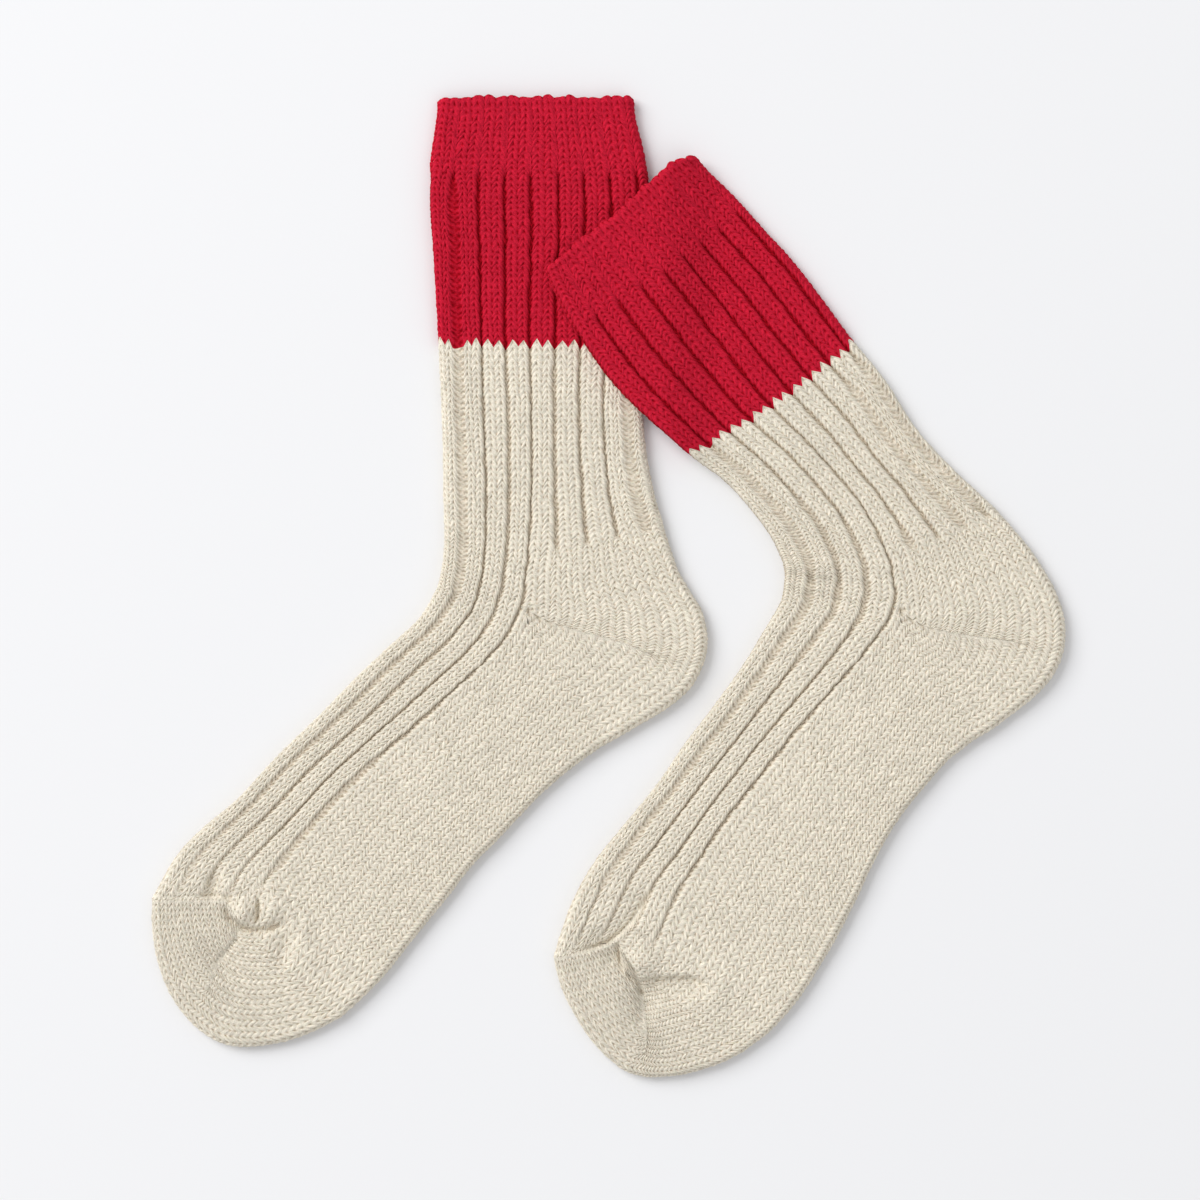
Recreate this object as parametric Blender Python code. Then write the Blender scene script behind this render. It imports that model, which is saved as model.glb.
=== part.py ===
"""A pair of crew socks with ribbed red cuffs, lying flat with one cuff across the other's leg.

Each sock is a knitted tube with a pocket for the heel and one for the toes. It is pressed flat, so
it has an upper layer and an under layer that meet in a fold along the front and one along the
back. The under sock lies on the surface. The over sock's cuff lies on it and eases down beside it.

Wales are the columns of stitches. They are numbered from the front fold: 51 go round the ribbed
tube, in ribs of three, and a groove runs at every third one. Courses are the rows of stitches.
The tables give plan points in millimetres, seen from above, with +Y towards the cuffs.
"""
import math
from typing import NamedTuple

import bmesh
import bpy
from mathutils import Vector

MM = 0.001

# Fabric sizes, in metres
FOLD_RADIUS = 0.0023        # half the thickness of the flattened sock at its grooves
FOLD_ARC = FOLD_RADIUS * math.pi / 2    # from a fold's extreme to the flat of a layer
WALL = 0.0017               # one layer of knitting at a groove
RIB_RELIEF = 0.0009         # how far a rib stands above its grooves
PLAIN_RELIEF = 0.0006       # how far the plain knitting stands above the grooves
EDGE_INSET = 0.0008         # from the outline in the tables to the grooves' own outline
SEAM_GAP = 0.0003           # clearance between neighbouring pieces

# How the over sock is carried by the under sock, in metres
CARRY_HEIGHT = 2 * FOLD_RADIUS + RIB_RELIEF + SEAM_GAP
CARRY_EDGE_X = 0.0185       # the under sock's back fold, with room for its round
CARRY_DROP = 0.024          # the width over which the cuff eases down to the surface

# Knitting counts
RIB_WALES = 3.0             # two plain wales and a groove
BORDER_WALE = 12.0          # the groove between the instep and the heel and sole
GROOVE_HALF = 0.6           # half the width of a groove, in wales
WELT_COURSES = 10.0
WELT_GROOVE = 0.35          # depth of a groove in the welt, as a share of a rib's
CUFF_COURSES = 40.0
BACK_RIB_END = 75.0         # the course where the ribs of the leg's back half stop
BACK_RIB_FADE = 3.0
TURN_ROWS = 20.0            # short rows on each side of a pocket's gore
BOW_PEAK = 0.74             # how far along its half a bowed course line turns
GORE_END_WALE = 22.0        # the wale where a gore ends and the rows run on round the fold

# Sampling of the solids
CUFF_STEP = 5.0             # courses between sections
LEG_STEP = 5.7
FOOT_STEP = 7.8
UNDERSIDE_WALES = (3.0, 6.0, 9.0, 12.0, 15.0, 18.5, 22.0)    # points across the underside
GORE_STEPS = 6
SEAM_ROW = 0.15             # the part of a short row that a pocket's seam gap takes
FOLD_SHARES = (0.36, 0.70, 0.98)    # points round the lower quarter of a fold
BEYOND_GORE_WALES = (23.6, 24.6, 25.1)
SOLE_WALES = (12.6, 15.0, 18.0, 21.0, 23.4, 24.6, 25.1)

# Colours: red, green, blue and roughness
RED = (0.56, 0.028, 0.055, 0.85)
NATURAL = (0.76, 0.70, 0.59, 0.9)

# The centre of the pair's plan box, in metres, which is moved to the origin
PLAN_CENTRE = Vector((0.000292, 0.000092))


class Row(NamedTuple):
    """A course line across the flat sock: three plan points, and how the wales meet the folds."""

    course: float
    front: tuple
    border: tuple
    back: tuple
    front_bow: float = 0.0
    back_bow: float = 0.0
    front_wale: float = 0.0
    back_wale: float = 25.5


class Swell(NamedTuple):
    """A soft swelling or hollow of the upper layer."""

    x: float
    y: float
    length: float
    width: float
    angle: float
    height: float


UNDER_SHAFT = [
    # course, front fold, rib border, back fold
    Row(0, (-62.0, 178.5), (-28.1, 178.9), (9.2, 178.5)),
    Row(4, (-62.8, 170.1), (-28.1, 170.1), (10.2, 170.8)),
    Row(10, (-64.8, 156.2), (-28.5, 156.2), (13.7, 156.2)),
    Row(17, (-65.7, 141.6), (-28.5, 141.6), (15.3, 141.6)),
    Row(25, (-64.6, 123.4), (-28.1, 123.4), (15.0, 123.4)),
    Row(40, (-62.4, 91.3), (-28.1, 90.9), (13.5, 91.3), front_wale=0.25, back_wale=25.9),
    Row(50, (-61.0, 69.0), (-28.1, 68.6), (12.8, 68.6), front_wale=0.45, back_wale=26.4),
    Row(59, (-60.4, 51.1), (-27.9, 48.9), (13.9, 50.4), front_wale=0.45, back_wale=26.4),
    Row(67, (-60.2, 34.3), (-28.1, 31.0), (16.8, 35.0), front_wale=0.45, back_wale=26.2),
    Row(75, (-60.0, 19.0), (-29.2, 13.9), (20.4, 22.6), front_wale=0.3, back_wale=25.9),
    Row(85, (-61.3, 5.5), (-31.8, -6.9), (25.9, 6.2)),
]

UNDER_FOOT = [
    Row(0, (-61.3, 5.5), (-31.8, -6.9), (-2.6, -58.4)),
    Row(6, (-63.5, -0.7), (-37.6, -17.5), (-11.7, -65.0)),
    Row(13, (-69.7, -11.0), (-46.7, -28.1), (-21.5, -73.0)),
    Row(20, (-80.3, -20.8), (-55.8, -36.5), (-30.3, -81.8)),
    Row(29, (-93.4, -33.2), (-68.6, -48.2), (-40.2, -92.3)),
    Row(38, (-106.9, -47.1), (-82.5, -60.2), (-49.6, -101.8)),
    Row(47, (-121.2, -61.0), (-96.0, -72.3), (-57.7, -112.4)),
    Row(56, (-135.8, -76.7), (-108.4, -86.1), (-66.1, -122.6)),
    Row(64, (-147.8, -86.9), (-118.6, -98.2), (-74.1, -132.5), front_bow=-1.0),
    Row(71, (-158.0, -97.8), (-127.0, -109.5), (-82.9, -143.4), front_bow=-3.5),
    Row(77, (-166.8, -113.5), (-133.2, -123.0), (-97.1, -157.0), front_bow=-7.3),
]

UNDER_HEEL_GORE = [(-31.8, -6.9), (-21.9, -12.0), (-11.3, -15.3), (2.9, -19.3), (15.3, -24.1)]
UNDER_HEEL_EDGE = [
    (25.9, 6.2), (30.7, -1.8), (34.7, -8.4), (36.5, -16.1), (36.5, -23.0), (34.7, -29.2),
    (30.7, -36.5), (23.4, -43.1), (15.3, -48.2), (6.6, -53.3), (-2.6, -58.4),
]
UNDER_TOE_GORE = [(-133.2, -123.0), (-137.6, -130.0), (-141.6, -137.0), (-146.0, -146.7)]
UNDER_TOE_EDGE = [
    (-97.1, -157.0), (-108.8, -162.8), (-119.7, -166.4), (-130.7, -167.9), (-140.9, -166.8),
    (-150.7, -160.6), (-157.7, -152.6), (-162.4, -143.8), (-165.3, -134.0), (-166.8, -123.4),
    (-166.8, -113.5),
]

OVER_SHAFT = [
    Row(0, (-23.0, 115.7), (3.3, 135.8), (31.8, 157.3), back_bow=-3.0),
    Row(4, (-20.1, 109.1), (9.1, 128.5), (37.0, 151.8), back_bow=-1.0),
    Row(10, (-14.6, 97.8), (17.2, 118.3), (47.1, 142.0)),
    Row(17, (-6.9, 85.0), (25.9, 107.7), (56.2, 131.8)),
    Row(27, (5.1, 69.7), (39.1, 91.6), (69.7, 116.8)),
    Row(40, (27.7, 49.3), (58.4, 68.3), (88.7, 91.3)),
    Row(49, (41.6, 39.1), (71.9, 54.0), (101.1, 75.9)),
    Row(57, (51.5, 28.5), (83.2, 41.6), (112.8, 57.7)),
    Row(65, (58.8, 18.6), (93.4, 28.8), (127.4, 42.0)),
    Row(75, (62.8, 10.2), (101.5, 12.8), (142.0, 28.5)),
    Row(85, (64.2, 2.9), (105.5, -6.6), (154.0, 15.0)),
]

OVER_FOOT = [
    Row(0, (64.2, 2.9), (105.5, -6.6), (133.2, -56.2)),
    Row(6, (62.4, -5.1), (99.3, -15.3), (124.1, -63.5)),
    Row(13, (56.2, -15.7), (90.9, -26.6), (115.7, -73.0)),
    Row(21, (48.2, -28.8), (79.6, -39.4), (106.2, -85.0)),
    Row(30, (37.6, -43.4), (66.4, -54.4), (98.2, -98.6)),
    Row(39, (27.0, -57.3), (54.4, -69.7), (91.3, -113.2)),
    Row(48, (17.5, -71.2), (43.1, -83.6), (84.7, -126.3)),
    Row(57, (5.1, -86.5), (33.6, -98.2), (77.4, -138.7)),
    Row(65, (-5.5, -100.0), (24.5, -112.1), (70.1, -150.0), front_bow=-2.0),
    Row(72, (-13.9, -115.7), (17.2, -128.5), (60.6, -161.0), front_bow=-5.0),
    Row(79, (-20.1, -134.7), (9.5, -138.7), (50.0, -169.4), front_bow=-8.7),
]

OVER_HEEL_GORE = [(105.5, -6.6), (113.9, -12.4), (123.0, -15.7), (132.9, -17.5), (146.7, -19.3)]
OVER_HEEL_EDGE = [
    (154.0, 15.0), (159.1, 7.3), (163.5, -0.4), (166.4, -8.4), (167.5, -16.8), (166.4, -24.5),
    (162.8, -32.5), (156.6, -39.4), (149.3, -45.3), (141.6, -51.1), (133.2, -56.2),
]
OVER_TOE_GORE = [(9.5, -138.7), (12.0, -144.9), (13.5, -153.0), (14.2, -160.5), (14.2, -166.0)]
OVER_TOE_EDGE = [
    (50.0, -169.4), (41.6, -173.7), (32.9, -176.7), (25.0, -178.4), (17.5, -178.9), (11.7, -178.5),
    (4.4, -175.6), (-5.5, -166.4), (-13.9, -153.3), (-17.9, -144.2), (-20.1, -134.7),
]

# Soft forms of the upper layers, in millimetres: centre, length, width, angle in degrees, height
UNDER_SWELLS = [
    Swell(-131.0, -117.5, 7.0, 5.5, 20.0, 1.6),
    Swell(-123.5, -121.0, 12.0, 3.2, 75.0, -0.8),
    Swell(12.0, -18.0, 26.0, 22.0, 0.0, 0.7),
    Swell(-146.0, -143.0, 12.0, 4.5, 40.0, -0.6),
]
OVER_SWELLS = [
    Swell(12.5, -137.5, 9.0, 7.0, 20.0, 1.6),
    Swell(5.0, -139.0, 3.5, 8.0, 80.0, -0.8),
    Swell(144.0, -18.0, 26.0, 24.0, 0.0, 0.7),
    Swell(24.0, -146.5, 13.0, 3.0, 2.0, -0.7),
]


def spline(points, position):
    """The point at a position along a smooth curve through points, one unit for each step."""
    last = len(points) - 1
    index = min(max(int(position), 0), last - 1)
    share = position - index
    near, far = points[index], points[index + 1]
    before = points[index - 1] if index > 0 else near * 2 - far
    after = points[index + 2] if index + 2 <= last else far * 2 - near
    return 0.5 * (
        2 * near
        + (far - before) * share
        + (2 * before - 5 * near + 4 * far - after) * share ** 2
        + (3 * near - before - 3 * far + after) * share ** 3
    )


def plan_points(table):
    """Plan points of a table, in metres."""
    return [Vector(point) * MM for point in table]


def peaked_bow(share):
    """A bow along a line that is 0 at both ends and 1 at its peak."""
    return share / BOW_PEAK if share < BOW_PEAK else (1 - share) / (1 - BOW_PEAK)


def right_of(direction):
    """The unit vector a quarter turn clockwise from a plan direction."""
    return Vector((direction.y, -direction.x)).normalized()


def inset_point(edge, inner):
    """A point of the outline moved in by the knitting's relief, which the surface adds again."""
    return edge + (inner - edge).normalized() * EDGE_INSET


class CourseLine:
    """A course line across the flat sock, from the front fold over the rib border to the back."""

    def __init__(self, front, border, back, front_bow, back_bow, front_wale, back_wale):
        self.front, self.border, self.back = front, border, back
        self.front_bow, self.back_bow = front_bow, back_bow
        self.front_wale, self.back_wale = front_wale, back_wale
        self.front_length = (border - front).length
        self.span = self.front_length + (back - border).length

    def front_half(self, share):
        """Plan point between the front fold, at 0, and the rib border, at 1."""
        bow = right_of(self.border - self.front) * self.front_bow * peaked_bow(share)
        return self.front.lerp(self.border, share) + bow

    def back_half(self, share):
        """Plan point between the rib border, at 0, and the back fold, at 1."""
        bow = right_of(self.back - self.border) * self.back_bow * peaked_bow(share)
        return self.border.lerp(self.back, share) + bow

    def at(self, distance):
        """Plan point at a distance in from the front fold."""
        if distance <= self.front_length:
            return self.front_half(distance / self.front_length)
        return self.back_half((distance - self.front_length) / (self.span - self.front_length))

    def moved_towards(self, other, distance):
        """This line with each of its three points moved a distance towards another line's."""
        def moved(point, target):
            return point + (target - point).normalized() * distance
        return CourseLine(
            moved(self.front, other.front), moved(self.border, other.border),
            moved(self.back, other.back), self.front_bow, self.back_bow,
            self.front_wale, self.back_wale,
        )


def course_line(rows, course):
    """The course line at a course, read from a smooth surface through the rows of a table."""
    index = 0
    while index < len(rows) - 2 and course > rows[index + 1].course:
        index += 1
    start, end = rows[index].course, rows[index + 1].course
    share = (course - start) / (end - start)

    def smooth(name, scale):
        return spline([Vector(getattr(row, name)) * scale for row in rows], index + share)

    def straight(name):
        return getattr(rows[index], name) * (1 - share) + getattr(rows[index + 1], name) * share

    border = smooth("border", MM)
    return CourseLine(
        inset_point(smooth("front", MM), border), border, inset_point(smooth("back", MM), border),
        straight("front_bow") * MM, straight("back_bow") * MM,
        straight("front_wale"), straight("back_wale"),
    )


def fold_profile(arc):
    """Where an arc length from a fold's extreme lies, on the upper layer.

    Returns the distance in from the fold, the height, and the outward and upward parts of the
    normal.
    """
    if arc >= FOLD_ARC:
        return arc - FOLD_ARC + FOLD_RADIUS, 2 * FOLD_RADIUS, 0.0, 1.0
    turn = arc / FOLD_RADIUS
    inset = FOLD_RADIUS * (1 - math.cos(turn))
    return inset, FOLD_RADIUS * (1 + math.sin(turn)), math.cos(turn), math.sin(turn)


def smooth_step(share):
    """An easing from 0 to 1 that is level at both ends."""
    share = min(max(share, 0.0), 1.0)
    return share * share * (3 - 2 * share)


class Sock:
    """One sock of the pair, with the tables that give its form."""

    def __init__(self, name, shaft, foot, heel, toe, swells, carried):
        self.name = name
        self.shaft, self.foot = shaft, foot
        self.heel, self.toe = heel, toe
        self.swells = swells
        self.carried = carried

    def lift(self, plan):
        """How high the sock's underside lies above the surface, which is 0 away from the cuff."""
        if not self.carried or plan.y < 0:
            return 0.0
        return CARRY_HEIGHT * smooth_step((CARRY_EDGE_X + CARRY_DROP - plan.x) / CARRY_DROP)

    def swell(self, plan):
        """How far the upper layer is swollen or hollowed."""
        height = 0.0
        for form in self.swells:
            turn = math.radians(form.angle)
            away = plan / MM - Vector((form.x, form.y))
            along = (away.x * math.cos(turn) + away.y * math.sin(turn)) / form.length
            across = (away.y * math.cos(turn) - away.x * math.sin(turn)) / form.width
            height += form.height * MM * math.exp(-along * along - across * across)
        return height

    def place(self, plan, outward, height, out, up, relief, depth):
        """The solid's point: relief raises the upper layer, and depth goes in from the face."""
        if up > 0:
            height += self.swell(plan) * up * up
        raised = relief * (1.0 if up >= 0 else 0.0) - depth
        spot = plan + outward * out * raised - PLAN_CENTRE
        return Vector((spot.x, spot.y, height + up * raised + self.lift(plan)))


def groove_depth(course, wale, whole_ribs):
    """How deep the knitting dips at a wale, from 0 on plain knitting to 1 in a groove."""
    away = abs(wale - RIB_WALES * round(wale / RIB_WALES))
    depth = 1 - smooth_step(away / GROOVE_HALF)
    if whole_ribs:
        if course < WELT_COURSES:
            return depth * WELT_GROOVE
        if wale > BORDER_WALE + GROOVE_HALF:
            return depth * smooth_step((BACK_RIB_END - course) / BACK_RIB_FADE + 0.5)
        return depth
    return depth if wale < BORDER_WALE + GROOVE_HALF else 0.0


def tube_ring(sock, line, course, wales, whole_ribs, depth):
    """One closed ring of points round a flattened tube, over the top and back underneath."""
    total_arc = line.span + 2 * (FOLD_ARC - FOLD_RADIUS)
    border_arc = line.front_length + FOLD_ARC - FOLD_RADIUS

    def arc_at(wale):
        """The arc length from the front fold to a wale."""
        if wale <= BORDER_WALE:
            return border_arc * (wale - line.front_wale) / (BORDER_WALE - line.front_wale)
        share = (wale - BORDER_WALE) / (line.back_wale - BORDER_WALE)
        return border_arc + (total_arc - border_arc) * share

    def point(arc, side, relief):
        """The point at an arc length from the front fold, on the upper layer or the under one."""
        at_front = arc < total_arc / 2
        inset, height, out, up = fold_profile(arc if at_front else total_arc - arc)
        if at_front:
            outward = (line.front - line.border).normalized()
        else:
            outward = (line.back - line.border).normalized()
            inset = line.span - inset
        if side < 0:
            height = 2 * FOLD_RADIUS - height
        return sock.place(line.at(inset), outward, height, out, side * up, relief, depth)

    ring = []
    for wale in [line.front_wale, *wales, line.back_wale]:
        plain = wale > BORDER_WALE + GROOVE_HALF and not whole_ribs
        crown = PLAIN_RELIEF if plain else RIB_RELIEF
        ring.append(point(arc_at(wale), 1, crown * (1 - groove_depth(course, wale, whole_ribs))))
    under = [FOLD_ARC * share for share in FOLD_SHARES]
    under += [arc_at(wale) for wale in UNDERSIDE_WALES]
    under += [total_arc - FOLD_ARC * share for share in reversed(FOLD_SHARES)]
    ring += [point(arc, -1, 0.0) for arc in reversed(under)]
    return ring


def rib_wales(last):
    """Wales that follow the ribs: groove, shoulder, crown and shoulder of each, up to the last."""
    wales = []
    for rib in range(int(last / RIB_WALES) + 1):
        start = rib * RIB_WALES
        wales += [start, start + GROOVE_HALF, start + RIB_WALES / 2, start + RIB_WALES - GROOVE_HALF]
    return [wale for wale in wales if GROOVE_HALF <= wale <= last]


def solid(name, collection, material, points, faces):
    """An object from a closed set of faces, turned to point outwards and shaded smooth."""
    mesh = bpy.data.meshes.new(name)
    mesh.from_pydata(points, [], faces)
    work = bmesh.new()
    work.from_mesh(mesh)
    bmesh.ops.recalc_face_normals(work, faces=work.faces)
    work.to_mesh(mesh)
    work.free()
    mesh.shade_smooth()
    mesh.set_sharp_from_angle(angle=math.radians(60))
    mesh.materials.append(material)
    piece = bpy.data.objects.new(name, mesh)
    collection.objects.link(piece)
    return piece


def tube(sock, piece, rows, span, step, wales, whole_ribs, ends, collection, material):
    """A piece of flattened tube between two courses, as a wall with plain inner faces."""
    first, last = span
    count = math.ceil((last - first) / step)
    courses = [first + (last - first) * index / count for index in range(count + 1)]
    lines = [course_line(rows, course) for course in courses]
    if ends[0]:
        lines[0] = lines[0].moved_towards(lines[1], SEAM_GAP / 2)
    if ends[1]:
        lines[-1] = lines[-1].moved_towards(lines[-2], SEAM_GAP / 2)
    points = []
    for depth in (0.0, WALL):
        for course, line in zip(courses, lines):
            points += tube_ring(sock, line, course, wales, whole_ribs, depth)
    around = len(points) // (2 * len(lines))
    inner = around * len(lines)
    faces = []
    for index in range(around):
        following = (index + 1) % around
        for ring in range(len(lines) - 1):
            near, far = ring * around, (ring + 1) * around
            faces.append((near + index, near + following, far + following, far + index))
            faces.append((inner + near + index, inner + far + index,
                          inner + far + following, inner + near + following))
        for ring in (0, len(lines) - 1):
            near = ring * around
            faces.append((near + index, near + following, inner + near + following, inner + near + index))
    return solid(f"{sock.name}_{piece}", collection, material, points, faces)


class Pocket:
    """A heel or toe pocket: short rows that turn on a gore, between two halves of a fold.

    The rows of the first half run on from the line that comes in, and those of the second half
    run into the line that goes out. Both lines start at the rib border.
    """

    def __init__(self, gore, edge, line_in, line_out):
        self.gore, self.edge = plan_points(gore), plan_points(edge)
        self.lines = (line_in, line_out)

    def row_ends(self, half, row):
        """Plan points on the gore and on the fold for a row of one half."""
        share = row / TURN_ROWS
        steps = len(self.edge) - 1
        position = share * steps / 2 if half == 0 else steps * (1 - share / 2)
        turn = spline(self.gore, share * (len(self.gore) - 1))
        return turn, inset_point(spline(self.edge, position), turn)

    def plan(self, half, row, share):
        """Plan point at a share of the way along a row, from the gore to the fold."""
        start, end = self.row_ends(half, row)
        rim = self.lines[half]
        straight = rim(0.0).lerp(rim(1.0), share)
        fade = (1 - row / TURN_ROWS) ** 2
        return start.lerp(end, share) + (rim(share) - straight) * fade


def pocket_rim(line, front):
    """The line at which a pocket starts or ends, from the rib border out to a fold."""
    if front:
        return lambda share: line.front_half(1 - share)
    return line.back_half


def pocket_solid(sock, piece, pocket, back_wale, collection, material):
    """A pocket as a wall, whose rows get shorter towards the gore's end."""
    gore_wales = [
        BORDER_WALE + (GORE_END_WALE - BORDER_WALE) * step / GORE_STEPS for step in range(GORE_STEPS + 1)
    ]
    wales = [*gore_wales, *BEYOND_GORE_WALES, back_wale]
    last = len(wales) - 1
    points, numbers = [], {}

    def spot(half, level, column, side, depth):
        """The number of a point, where both halves share the gore and the last row."""
        shared = column == level or level == GORE_STEPS
        key = (0 if shared else half, level, column, side if column < last else 0, depth)
        if key in numbers:
            return numbers[key]
        row = max(TURN_ROWS * level / GORE_STEPS, SEAM_ROW)
        start, end = pocket.row_ends(half, row)
        span = (end - start).length
        total_arc = span + FOLD_ARC - FOLD_RADIUS
        arc = total_arc * (back_wale - wales[column]) / (back_wale - wales[level])
        inset, height, out, up = fold_profile(arc)
        if side < 0:
            height = 2 * FOLD_RADIUS - height
        plan = pocket.plan(half, row, 1 - inset / span)
        outward = (end - start).normalized()
        numbers[key] = len(points)
        points.append(sock.place(plan, outward, height, out, side * up, PLAIN_RELIEF, depth))
        return numbers[key]

    faces = []
    for depth in (0.0, WALL):
        for half in (0, 1):
            for side in (1, -1):
                for level in range(GORE_STEPS):
                    for column in range(level, last):
                        corners = [(level, column), (level, column + 1), (level + 1, column + 1)]
                        if column > level:
                            corners.append((level + 1, column))
                        faces.append([spot(half, *corner, side, depth) for corner in corners])
    for half in (0, 1):
        for side in (1, -1):
            for column in range(last):
                faces.append([
                    spot(half, 0, column, side, 0.0), spot(half, 0, column + 1, side, 0.0),
                    spot(half, 0, column + 1, side, WALL), spot(half, 0, column, side, WALL),
                ])
    return solid(f"{sock.name}_{piece}", collection, material, points, faces)


def knit_material(name, colour):
    """A plain matte finish in a yarn's colour."""
    material = bpy.data.materials.new(name)
    material.use_nodes = True
    shader = material.node_tree.nodes["Principled BSDF"]
    shader.inputs["Base Color"].default_value = (*colour[:3], 1.0)
    shader.inputs["Roughness"].default_value = colour[3]
    shader.inputs["Metallic"].default_value = 0.0
    material.diffuse_color = (*colour[:3], 1.0)
    return material


def build_sock(sock, collection, red, natural):
    """The cuff, leg, heel, foot and toe of one sock."""
    leg_end = sock.shaft[-1].course
    toe_start = sock.foot[-1].course
    ribs = rib_wales(25.2) + [25.1]
    foot_wales = rib_wales(BORDER_WALE) + list(SOLE_WALES)
    tube(sock, "cuff", sock.shaft, (0.0, CUFF_COURSES), CUFF_STEP, ribs, True,
         (False, True), collection, red)
    tube(sock, "leg", sock.shaft, (CUFF_COURSES, leg_end), LEG_STEP, ribs, True,
         (True, True), collection, natural)
    tube(sock, "foot", sock.foot, (0.0, toe_start), FOOT_STEP, foot_wales, False,
         (True, True), collection, natural)
    heel_in = course_line(sock.shaft, leg_end)
    heel_out = course_line(sock.foot, 0.0)
    toe_line = course_line(sock.foot, toe_start)
    heel = Pocket(*sock.heel, pocket_rim(heel_in, False), pocket_rim(heel_out, False))
    toe = Pocket(*sock.toe, pocket_rim(toe_line, False), pocket_rim(toe_line, True))
    pocket_solid(sock, "heel", heel, heel_in.back_wale, collection, natural)
    pocket_solid(sock, "toe", toe, toe_line.back_wale, collection, natural)


def main():
    """Build the pair in a collection of its own."""
    for old in list(bpy.data.objects):
        bpy.data.objects.remove(old, do_unlink=True)
    collection = bpy.data.collections.new("sock_pair")
    bpy.context.scene.collection.children.link(collection)
    red = knit_material("red_knit", RED)
    natural = knit_material("natural_knit", NATURAL)
    under = Sock("under", UNDER_SHAFT, UNDER_FOOT, (UNDER_HEEL_GORE, UNDER_HEEL_EDGE),
                 (UNDER_TOE_GORE, UNDER_TOE_EDGE), UNDER_SWELLS, False)
    over = Sock("over", OVER_SHAFT, OVER_FOOT, (OVER_HEEL_GORE, OVER_HEEL_EDGE),
                (OVER_TOE_GORE, OVER_TOE_EDGE), OVER_SWELLS, True)
    for sock in (under, over):
        build_sock(sock, collection, red, natural)


main()
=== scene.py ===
"""Looks of a pair of ribbed crew socks that lie flat, one cuff across the other sock's leg.

Each sock is a knitted tube pressed flat, with a pocket for the heel and one for the toes. Its five
pieces are thin shells of knitting, and every stitch that faces up has its own form: two slanted legs
on a knit wale, and low arcs on a purl wale. Wales are the columns of stitches and courses the rows.
Sizes are in millimetres, and the meshes are written in metres.
"""
import logging
import math
from dataclasses import dataclass, field
from enum import Enum
from typing import Callable, ClassVar

import bmesh
import bpy
import numpy as np
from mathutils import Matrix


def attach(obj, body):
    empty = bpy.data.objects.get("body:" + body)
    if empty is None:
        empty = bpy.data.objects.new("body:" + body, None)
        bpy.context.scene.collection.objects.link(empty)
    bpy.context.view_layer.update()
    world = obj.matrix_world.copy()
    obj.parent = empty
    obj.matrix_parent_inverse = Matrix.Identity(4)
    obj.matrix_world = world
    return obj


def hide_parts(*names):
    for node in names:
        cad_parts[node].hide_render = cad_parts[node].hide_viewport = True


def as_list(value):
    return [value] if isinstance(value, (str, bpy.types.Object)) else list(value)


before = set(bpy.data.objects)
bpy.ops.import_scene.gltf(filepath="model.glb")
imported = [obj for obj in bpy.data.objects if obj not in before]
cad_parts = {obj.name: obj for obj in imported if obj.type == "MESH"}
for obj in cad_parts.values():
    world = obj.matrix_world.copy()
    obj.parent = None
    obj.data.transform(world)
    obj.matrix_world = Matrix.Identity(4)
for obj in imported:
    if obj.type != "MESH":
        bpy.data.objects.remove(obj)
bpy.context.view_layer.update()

log = logging.getLogger("socks")
Array = np.ndarray

MM = 0.001
UV_NAME = "wales_and_courses"
FINISH_READS = ("hollow", "tone", "under")
SHARP_DEGREES = 72.0
PLAN_CENTRE = np.array((0.292, 0.092))


class Layer(Enum):
    """The two layers of a sock that is pressed flat."""

    UPPER = 1.0
    UNDER = -1.0


class Stretch(Enum):
    """The two tubes of a sock, with the number of courses knitted before each."""

    SHAFT = 0.0
    FOOT = 85.0


@dataclass(frozen=True)
class Fabric:
    """Sizes and counts of the knitting, which both socks share."""

    fold_radius: float = 2.3        # half the thickness of the flat sock at its grooves
    wall: float = 1.7               # one layer of knitting at a groove
    rib_relief: float = 0.9         # how far a rib stands above its grooves
    plain_relief: float = 0.6
    edge_inset: float = 0.8
    clearance: float = 0.3          # between the over sock's cuff and the under sock
    border_wale: float = 12.0       # the groove between the instep and the heel and sole
    rib_wales: float = 3.0
    grooves: int = 10
    turn_rows: float = 20.0         # short rows on each side of a pocket's gore
    gore_slope: float = 0.5         # wales that each short row leaves at the gore
    bow_peak: float = 0.74
    bow_round: float = 7.0
    chevron: float = 1.15           # courses that a knit stitch's legs run down from its apex
    colour_course: float = 39.65    # where the red yarn gives way, at the apexes
    border_ease: float = 1.5        # wales beside the rib border over which the knitting changes
    sole_ease: float = 1.2

    @property
    def fold_arc(self) -> float:
        """Arc length from a fold's extreme to the flat of a layer."""
        return self.fold_radius * math.pi / 2


FABRIC = Fabric()


@dataclass(frozen=True)
class Row:
    """A course line across the flat sock: three plan points, and how the wales meet the folds."""

    course: float
    front: tuple[float, float]
    border: tuple[float, float]
    back: tuple[float, float]
    front_bow: float = 0.0
    back_bow: float = 0.0
    front_wale: float = 0.0
    back_wale: float = 25.5


@dataclass(frozen=True)
class Swell:
    """A soft swelling or dip of the upper layer."""

    x: float
    y: float
    length: float
    width: float
    angle: float
    height: float


@dataclass(frozen=True)
class Crease:
    """A soft trough along a line, and a step down to the right of its walking direction."""

    points: tuple[tuple[float, float], ...]
    width: float
    depth: float
    step: float = 0.0
    reach: float = 5.0


@dataclass(frozen=True)
class Opening:
    """A stretch where a purl groove lies open, in courses from the top, and its half width."""

    groove: int
    first: float
    last: float
    half_width: float


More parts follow.
